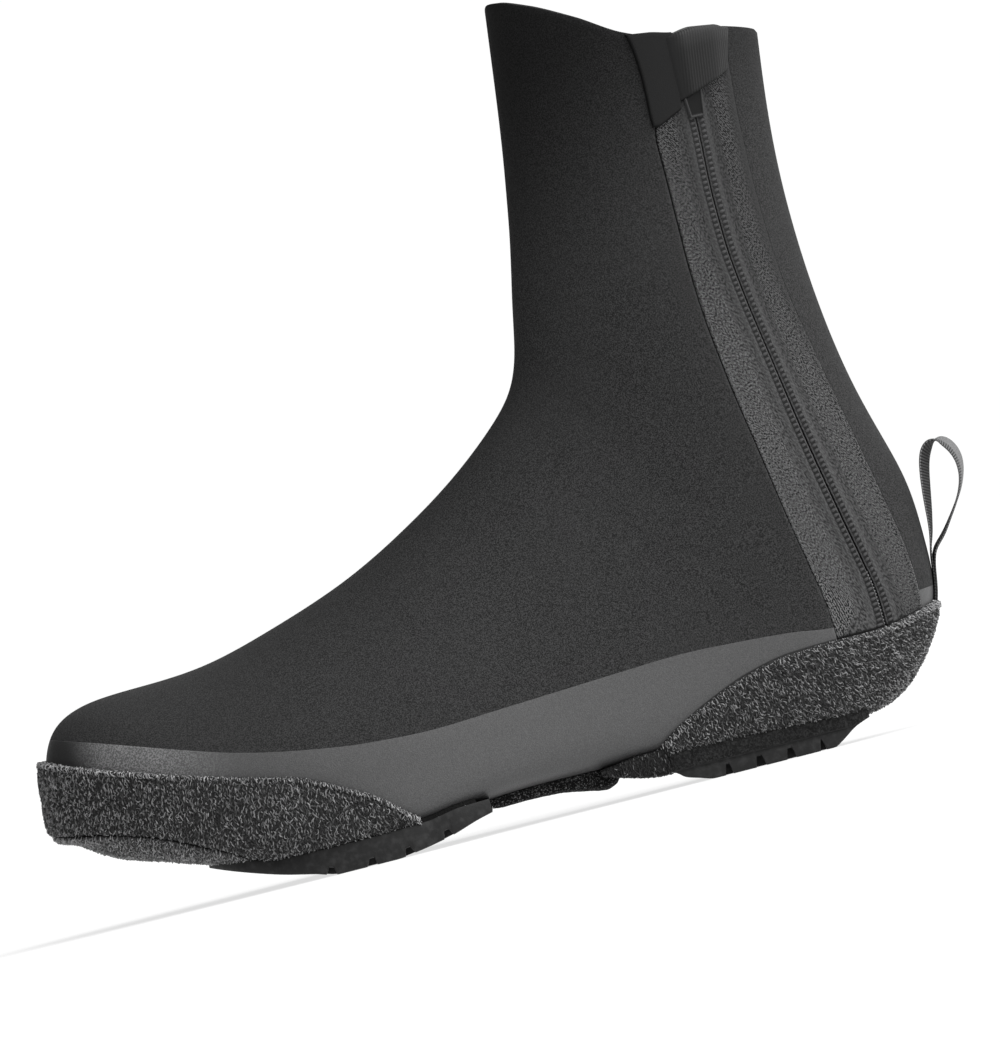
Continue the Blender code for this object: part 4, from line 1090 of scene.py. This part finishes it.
def build_heel_tread(paint, film, curl):
    """The two-step heel pad and, ahead of it, its thin tail under dark crumbs."""
    lower, tail_lower = edge_curve(HEEL_BOTTOM), edge_curve(HEEL_TAIL_BOTTOM)
    step, reach = HEEL_STEP_INSET, HEEL_NOTCHES["reach"]
    offset = SEAT_GAP + HEEL_GUARD_OUTER
    thinnest, corner_radius, ledge_round = 0.4, 0.6, 0.25

    def pad_profile(x, top):
        low = float(lower(x))
        ledge = min(max(low, HEEL_STEP_HEIGHT), top - thinnest)
        low = min(low, ledge)
        cut = min(low + in_notch(x, HEEL_NOTCHES) * HEEL_NOTCHES["depth"], ledge)
        r = min(corner_radius, max(ledge - cut, 0.02) / 2)
        lower_step = (step - 0.2, step, step + 0.1, step + r, reach - NOTCH_DRAFT, reach + NOTCH_DRAFT)
        heights = (top + 0.4, ledge + 0.4, ledge, ledge, ledge - 0.2 * r, cut + r, cut, cut, low)
        return (0.0, 0.0, ledge_round) + lower_step, heights

    def tail_profile(x, top):
        low = min(float(tail_lower(x)), top - thinnest)
        heights = np.linspace(top, low + 0.4, 7)
        return (1.6, 0.5) + (0.0,) * 6 + (ledge_round, 1.2), (top + 0.5, *heights, low + 0.1, low)

    def pad(x, rim, profile):
        t = t_under(x)
        return wrap_under(t, p_at_height(t, edge_curve(rim), offset), offset, profile)

    rows = tread_rows(HEEL_TREAD, HEEL_NOTCHES)
    points = pad(rows[rows <= HEEL_TAIL["from"]], HEEL_TREAD_RIM, pad_profile)
    on_step = smooth(points[..., 2], HEEL_STEP_HEIGHT, HEEL_STEP_HEIGHT + 0.4)
    tread = grid_object("heel_tread_rubber", points, fields={"crumbs": on_step})
    sharpen(tread)
    dress(tread, paint, "tread_rubber", "heel_tread")
    rows = np.arange(HEEL_TAIL_BOTTOM[-1][0], HEEL_TAIL["from"] - HEEL_TAIL["under_pad"], -HEEL_TAIL["step"])
    points = pad(rows, HEEL_TAIL_RIM, tail_profile)
    tail = grid_object("heel_tail_film", points, fields={"from_seam": FAR + 0 * points[..., 0]})
    dress(tail, film, "guard_rubber")
    out = points * (0, 1, 0) + (0, 0, -20.0)
    seen = smooth(np.abs(points[..., 1]), 18.0, 24.0)
    seen[[0, -2]] = 0.0
    curl_cover("heel_tail", points, out, seen[:-1, :-1], HEEL_TAIL["paler"] + 0 * seen, curl)


def build_arch_strap(paint):
    """The hook-and-loop strap across the arch, roughened by its pile."""
    rows, floor_columns, pile_size, pile_depth = 84, 60, 0.9, 0.35
    x = np.linspace(STRAP[0][0], STRAP[-1][0], rows)
    t = t_under(x)
    wall = np.array([0.0, 0.25, 0.5, 0.75, 0.93, 1.0])
    inset = np.array([0.0, 0.0, 0.0, 0.0, 0.006, 0.012])
    floor = np.linspace(STRAP_HALF_SHARE - 0.02, 0.02, floor_columns)
    shares = np.concatenate([STRAP_HALF_SHARE - inset, floor])
    p = mirrored(np.stack([p_of_share(t, np.full(t.shape, share)) for share in shares], axis=1))
    depth = np.concatenate([wall, np.ones(floor_columns)])
    depth = edge_curve(sorted(STRAP))(x)[:, None] * np.concatenate([depth, depth[::-1]])[None]
    t = t[:, None]
    pile = roughen(form(t, p, SEAT_GAP + depth), pile_size)
    points = form(t, p, SEAT_GAP + depth + pile_depth * (pile - 0.3) * (depth > 0))
    on_sole = form(t, p, 0.0)
    strap = grid_object("arch_strap_pile", np.concatenate([on_sole[:1], points, on_sole[-1:]]), weld=True)
    dress(strap, paint, "hook_and_loop", "arch_strap")


def zip_rows(line):
    """Sections along a line of the zip, p of the line there, and the length along it in millimetres."""
    t = np.linspace(ZIP_FOOT + 0.1, LAST_SECTION, ZIP_STEPS)
    p = zip_p(t, line)
    return t, p, length_along(surface(t, p))


def zip_spread(along):
    return np.interp(along, *np.transpose(ZIP_SPREAD))


def p_per_mm(t, p):
    step = 0.002
    return 2 * step / np.linalg.norm(surface(t, p + step) - surface(t, p - step), axis=-1)


def tape_height(across, from_edge, front):
    """Height of a tape over its recess: high over the coil, low at the slit, level with the upper outside."""
    away = np.abs(across)
    over_coil = TAPE["coil"] * (1 - smooth(away, *TAPE["coil_edge"]))
    slit = TAPE["slit"] * (1 - smooth(away, *TAPE["slit_edge"]))
    lane = TAPE["lane"] * bell(away, *TAPE["lane_at"])
    at_edge = TAPE_RECESS * (1 - smooth(from_edge, *TAPE["edge"]))
    seam = TAPE["seam"] * (1 - smooth(from_edge, *TAPE["seam_edge"])) * front
    return over_coil - slit - lane + at_edge - seam


def build_tapes(paint):
    t, middle, along = zip_rows("middle")
    spread = zip_spread(along)
    slit = np.interp(along, (0.0, along[-1]), TAPE_SLIT) / 2 * spread * p_per_mm(t, middle)
    spans = {
        "front": (zip_p(t, "front_edge"), middle - slit),
        "rear": (middle + slit, zip_p(t, "rear_edge")),
    }
    for name, span in spans.items():
        front = name == "front"
        p = columns(span, [TAPE_STEPS])
        from_slit = np.linalg.norm(surface(t[:, None], p) - surface(t, middle)[:, None], axis=-1)
        from_edge = np.abs(from_slit - (from_slit[:, :1] if front else from_slit[:, -1:]))
        reach = from_slit / spread[:, None]
        points = form(collar_t(t[:, None], p), p, tape_height(reach, from_edge, front) - TAPE_RECESS)
        fields = {
            "across": reach * (-1 if front else 1),
            "from_slit": from_slit,
            "along": along[:, None] + 0 * p,
            "front_seam": from_edge if front else from_edge + FAR,
            "rear_edge": from_edge + FAR if front else from_edge,
            # Height above the heel guard's top, for the painted shadow line there
            "above_guard": points[..., 2] - edge_curve(HEEL_GUARD_TOP)(points[..., 0]),
        }
        tape = grid_object("zip_tape_%s_twill" % name, points, fields=fields)
        thicken(tape, TAPE_THICKNESS)
        dress(tape, paint, "zip_tape", "zip_tape_" + name)


def capsules(name, starts, ends, ups, radius, flat):
    """Short rounded threads from starts to ends, flattened along ups, as one mesh."""
    bm = bmesh.new()
    bmesh.ops.create_icosphere(bm, subdivisions=1, radius=1.0)
    ball = np.array([vert.co for vert in bm.verts])
    faces = np.array([[vert.index for vert in face.verts] for face in bm.faces])
    bm.free()
    axis = (ends - starts) / 2
    ahead = unit(axis)
    side = unit(np.cross(ups, ahead))
    axes = np.stack([axis, side * radius, np.cross(ahead, side) * radius * flat], axis=1)
    points = (starts + ends)[:, None] / 2 + ball @ axes
    faces = faces[None] + (np.arange(len(starts)) * len(ball))[:, None, None]
    return mesh_object(name, points, faces.reshape(-1, 3))


def on_zip(place, reach, height, rows):
    """Points beside a line of the zip, place along it and reach square to it, and the ways out there."""
    t, p, along = rows
    line = surface(t, p)
    beside = (surface(t, p + p_per_mm(t, p)) - line) * np.gradient(line, along, axis=0)
    place = place - np.interp(place, along, np.sum(beside, axis=-1)) * reach
    t_at, p_at = np.interp(place, along, t), np.interp(place, along, p)
    p_at = p_at + reach * p_per_mm(t_at, p_at)
    return form(t_at, p_at, height), outward(t_at, p_at)


def build_coil_stitches(thread):
    """A row of stitches on each side of the slit, which hold the coil."""
    rows = zip_rows("middle")
    near, far = COIL_STITCH["near"], COIL_STITCH["far"]
    places = np.arange(COIL_STITCH["first"], rows[2][-1] - COIL_STITCH["below_collar"], COIL_STITCH["pitch"])
    on_tape = float(tape_height((near + far) / 2, far + FAR, False)) - TAPE_RECESS
    spread = zip_spread(places)
    starts, ends, ups = [], [], []
    for side in (-1, 1):
        starts.append(on_zip(places, side * near * spread, on_tape, rows)[0])
        end, up = on_zip(places + COIL_STITCH["slant"] * side, side * far * spread, on_tape, rows)
        ends.append(end)
        ups.append(up)
    shape = COIL_STITCH["radius"], COIL_STITCH["flat"]
    dress(capsules("zip_stitches", *map(np.vstack, (starts, ends, ups)), *shape), thread, "zip_tape")


def build_dots(name, paint, slot):
    """A row of short threads along a line of the zip: the teeth at its foot, or stitches at its rear edge."""
    dot = ZIP_DOTS[name]
    rows = zip_rows(dot["line"])
    places = np.arange(dot["first"], dot["last"], dot["pitch"])
    start, up = on_zip(places, dot["reach"], dot["height"], rows)
    end, _ = on_zip(places + dot["length"], dot["reach"], dot["height"], rows)
    dress(capsules(name, start, end, up, dot["radius"], dot["flat"]), paint, slot)


def side_patch(corners, steps_down, steps_back, move):
    """(t, p) over a four-cornered patch on the outer side, how far each point is down and back, and how far
    across the ribs it lies. move(down, back) gives shifts in x and z."""
    rib_lean = 0.13
    shares = np.linspace(0, 1, steps_down + 1), np.linspace(0, 1, steps_back + 1)
    down, back = np.meshgrid(*shares, indexing="ij")
    corner = {name: np.array(place) for name, place in corners.items()}
    top = corner["top_front"] * (1 - back[..., None]) + corner["top_rear"] * back[..., None]
    low = corner["low_front"] * (1 - back[..., None]) + corner["low_rear"] * back[..., None]
    x, z = np.moveaxis(top * (1 - down[..., None]) + low * down[..., None], -1, 0)
    shift_x, shift_z = move(down, back)
    x, z = x + shift_x, z + shift_z
    t, p = place_on_side(x, z)
    return t, p, down, back, -x - rib_lean * z


def build_garage_tab(paint):
    """The smooth tab over the top of the zip, with a bowed front edge and a rounded tip."""
    height, width, thickness = 31, 11.5, 0.5

    def shape(down, back):
        tip = smooth(down, 0.8, 1.0) * (1 - smooth(back, 0.0, 0.3))
        bow = 2.5 * back * (down - 1) - 1.3 * np.sin(np.pi * down**0.7) * (1 - back)
        return bow - 0.4 * tip, 1.4 * tip + (0.9 - 0.7 * smooth(back, 0.5, 1.0)) * (1 - down) ** 3

    t, p, down, back, _ = side_patch(GARAGE_TAB, 60, 26, shape)
    edge = np.minimum(np.minimum(down, 1 - down) * height, back * width)
    points = form(t, p, SEAT_GAP + GARAGE_THICKNESS * rounded_edge(edge, 1.1))
    tab = grid_object("garage_tab_cloth", points, fields={"from_edge": edge})
    thicken(tab, thickness)
    dress(tab, paint, "garage_fabric", "zip_garage_tab")


def build_garage_fold(paint):
    """The ribbed fold, which grows out of the tab, arches over the slider and turns in over the collar."""
    height, width, thickness = 20, 21, 0.6

    def shape(down, back):
        arch = -1.5 + 2.4 * smooth(back, 0.0, 0.5) - 1.4 * smooth(back, 0.75, 1.0)
        return 0.0, arch * (1 - down) ** 1.5

    t, p, down, back, across = side_patch(GARAGE_FOLD, 60, 60, shape)
    from_rear = smooth(FOLD["rear_slope"] * (1 - back), 0, 1)
    from_top = smooth(FOLD["down_slope"] * down + FOLD["at_top"], 0, 1)
    edge = np.minimum(np.minimum(down, 1 - down) * height, (1 - back) * width / 2)
    rise = FOLD["lift"] * from_rear * from_top * smooth(back, 0.0, 0.3) - 0.5 * (1 - smooth(back, 0.0, 0.1))
    points = form(t, p, SEAT_GAP + 0.1 + rise + GARAGE_THICKNESS * rounded_edge(edge, 1.2))
    over_collar = form(t[:1], p[:1], -FOLD["turned_in"])
    fields = {"across": across, "down": down, "back": back}
    fields = {name: np.vstack([values[:1], values]) for name, values in fields.items()}
    fold = grid_object("garage_fold_elastic", np.concatenate([over_collar, points]), fields=fields)
    thicken(fold, thickness)
    dress(fold, paint, "garage_fabric", "zip_garage_fold")


def build_slider(paint):
    """The slider's body: a tapered plate with a raised rim."""
    height = np.array(SLIDER["height"])
    t, p = place_on_side(zip_edges["middle"](height), height)
    step = 0.1
    above, below = (surface(place, zip_p(place, "middle")) for place in (t + step, t - step))
    up = unit(above - below)
    across = unit(np.cross(up, outward(t, p)))
    out = np.cross(across, up)
    along, side = np.meshgrid(np.linspace(-0.5, 0.5, 40), np.linspace(-0.5, 0.5, 30), indexing="ij")
    width = SLIDER["low_width"] + (SLIDER["top_width"] - SLIDER["low_width"]) * (along + 0.5)
    edge = np.minimum((0.5 - np.abs(side)) * width, (along + 0.5) * SLIDER["length"])
    rise = SLIDER["thickness"] * rounded_edge(edge, 0.4) - SLIDER["rim"] * smooth(edge, 0.6, 0.9)
    points = form(t, p, SEAT_GAP - TAPE_RECESS)
    for share, direction in ((along * SLIDER["length"], up), (side * width, across), (rise, out)):
        points = points + share[..., None] * direction
    slider = grid_object("zip_slider_body", points, fields={"from_edge": edge})
    dress(slider, paint, "zip_plastic", "zip_slider")


def build_pull_loop(paint):
    """The woven tape of the loop: up from the heel, round and down on itself."""
    path = natural_spline(np.arange(len(LOOP)), LOOP)
    steps = np.linspace(0, len(LOOP) - 1, 600)
    reach, columns_a_face, thin_border = 0.05, 9, 0.55

    def middle(step):
        away, height, _ = np.moveaxis(path(np.clip(step, 0, len(LOOP) - 1)), -1, 0)
        t = solve(lambda t: height - section(t, "back_z"), HEEL_SECTION, LOOP_TOP_SECTION, height.shape)
        return np.stack([section(t, "back_x") - away, 0 * away, height], axis=-1)

    line = middle(steps)
    along = unit(middle(steps + reach) - middle(steps - reach))
    twist = np.radians(path(steps)[:, LOOP_COLUMNS.index("twist")])
    width = np.stack([np.sin(twist), np.cos(twist), 0 * twist], axis=1)
    width = unit(width - along * np.sum(width * along, axis=1, keepdims=True))
    face = np.cross(along, width)
    across = np.linspace(-0.5, 0.5, columns_a_face)
    side = np.concatenate([across, across[::-1], across[:1]])[None]
    depth = np.repeat((0.5, -0.5, 0.5), (columns_a_face, columns_a_face, 1))[None]
    out = depth * LOOP_THICKNESS * np.where(np.abs(side) > 0.49, thin_border, 1.0)
    over = side * LOOP_WIDTH + 0 * line[:, :1]
    points = line[:, None] + width[:, None] * over[..., None] + face[:, None] * out[..., None]
    # Where the tail is sewn down; its faces get painted shade there
    sewn_down = 1 - smooth(line[:, 2:], *LOOP_TAIL_FROM)
    fields = {
        "along": length_along(line)[:, None] + 0 * over,
        "across": over,
        "inside": np.maximum((depth > 0) + 0 * over, 2 * sewn_down),
    }
    dress(grid_object("pull_loop_webbing", points, fields=fields), paint, "webbing", "pull_loop")


def build_tent():
    """A white tent, darker on the toe's side."""
    bpy.context.scene.view_settings.view_transform = "Standard"
    world = bpy.data.worlds.new("white_tent")
    bpy.context.scene.world = world
    world.use_nodes = True
    nodes = Nodes(world.node_tree)
    x = nodes.along_x(nodes.node("TexCoord", "Generated", {}))
    background = nodes.tree.nodes["Background"].inputs
    nodes.put(background["Strength"], nodes.ramp(x, *TENT["turn"], *TENT["strength"]))
    nodes.put(background["Color"], WHITE)


def build_floor():
    """A pale floor that glows, less so far ahead of the toe."""
    bpy.ops.mesh.primitive_plane_add(size=FLOOR["size"], location=(FLOOR["x"], 0.0, 0.0))
    floor = bpy.context.object
    floor.name = "floor"
    pale = Paint("floor_pale", FLOOR["color"], 1.0, 0.0)
    pale.set("Emission Color", WHITE)
    x = pale.along_x(pale.place())
    pale.set("Emission Strength", pale.ramp(x, *FLOOR["turn"], *FLOOR["strength"]))
    floor.data.materials.append(pale.material)


def build_light():
    """One very soft sun from above the heel, on the camera's side."""
    data = bpy.data.lights.new("key", "SUN")
    data.energy = SUN["energy"]
    data.angle = math.radians(SUN["angle"])
    lamp = bpy.data.objects.new("key", data)
    bpy.context.scene.collection.objects.link(lamp)
    lamp.rotation_euler = Vector(SUN["towards"]).to_track_quat("-Z", "Y").to_euler()


def build_camera():
    """The photograph's side view: level with the shoe and rolled so that its heel is up."""
    data = bpy.data.cameras.new("camera")
    data.lens = data.sensor_width * CAMERA["distance"] / CAMERA["frame_height"]
    data.clip_end = CAMERA["clip_end"]
    camera = bpy.data.objects.new("camera", data)
    bpy.context.scene.collection.objects.link(camera)
    bpy.context.scene.camera = camera
    roll = math.radians(CAMERA["roll"])
    up = Vector((-math.sin(roll), 0.0, math.cos(roll)))
    back = Vector((0.0, 1.0, 0.0))
    facing = Matrix((up.cross(back), up, back)).transposed()
    place = Matrix.Translation((CAMERA["x"], CAMERA["distance"], CAMERA["z"]))
    camera.matrix_world = place @ facing.to_4x4()


def main():
    build_upper(neoprene_paint())
    film, curl = crumb_paint("guard_film", 0.014, 0.046), curl_paint()
    build_toe_guard(film, curl)
    build_toe_panel(crumb_paint("panel_film", 0.018, 0.062), curl)
    build_heel_guard(film, curl)
    tread = tread_paint()
    build_forefoot_tread(tread)
    build_heel_tread(tread, crumb_paint("tail_film", 0.004, 0.022), curl)
    build_arch_strap(pile_paint())
    build_tapes(tape_paint())
    build_coil_stitches(plain_paint("stitch_thread", 0.054, 0.8, 0.2, 5000.0, 0.05))
    build_dots("zip_teeth", plain_paint("zip_tooth", 0.30, 0.5, 0.4, 5000.0, 0.02), "zip_plastic")
    build_dots("zip_edge_stitches", plain_paint("edge_thread", 0.17, 0.8, 0.2, 5000.0, 0.05), "zip_tape")
    build_garage_tab(cloth_paint())
    build_garage_fold(rib_paint())
    satin = plain_paint("zip_satin_black", 0.006, 0.6, 0.12, 1800.0, 0.02)
    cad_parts["zip_coil"].data.materials[0] = satin
    build_slider(slider_paint())
    build_pull_loop(webbing_paint())
    build_tent()
    build_floor()
    build_light()
    build_camera()


main()
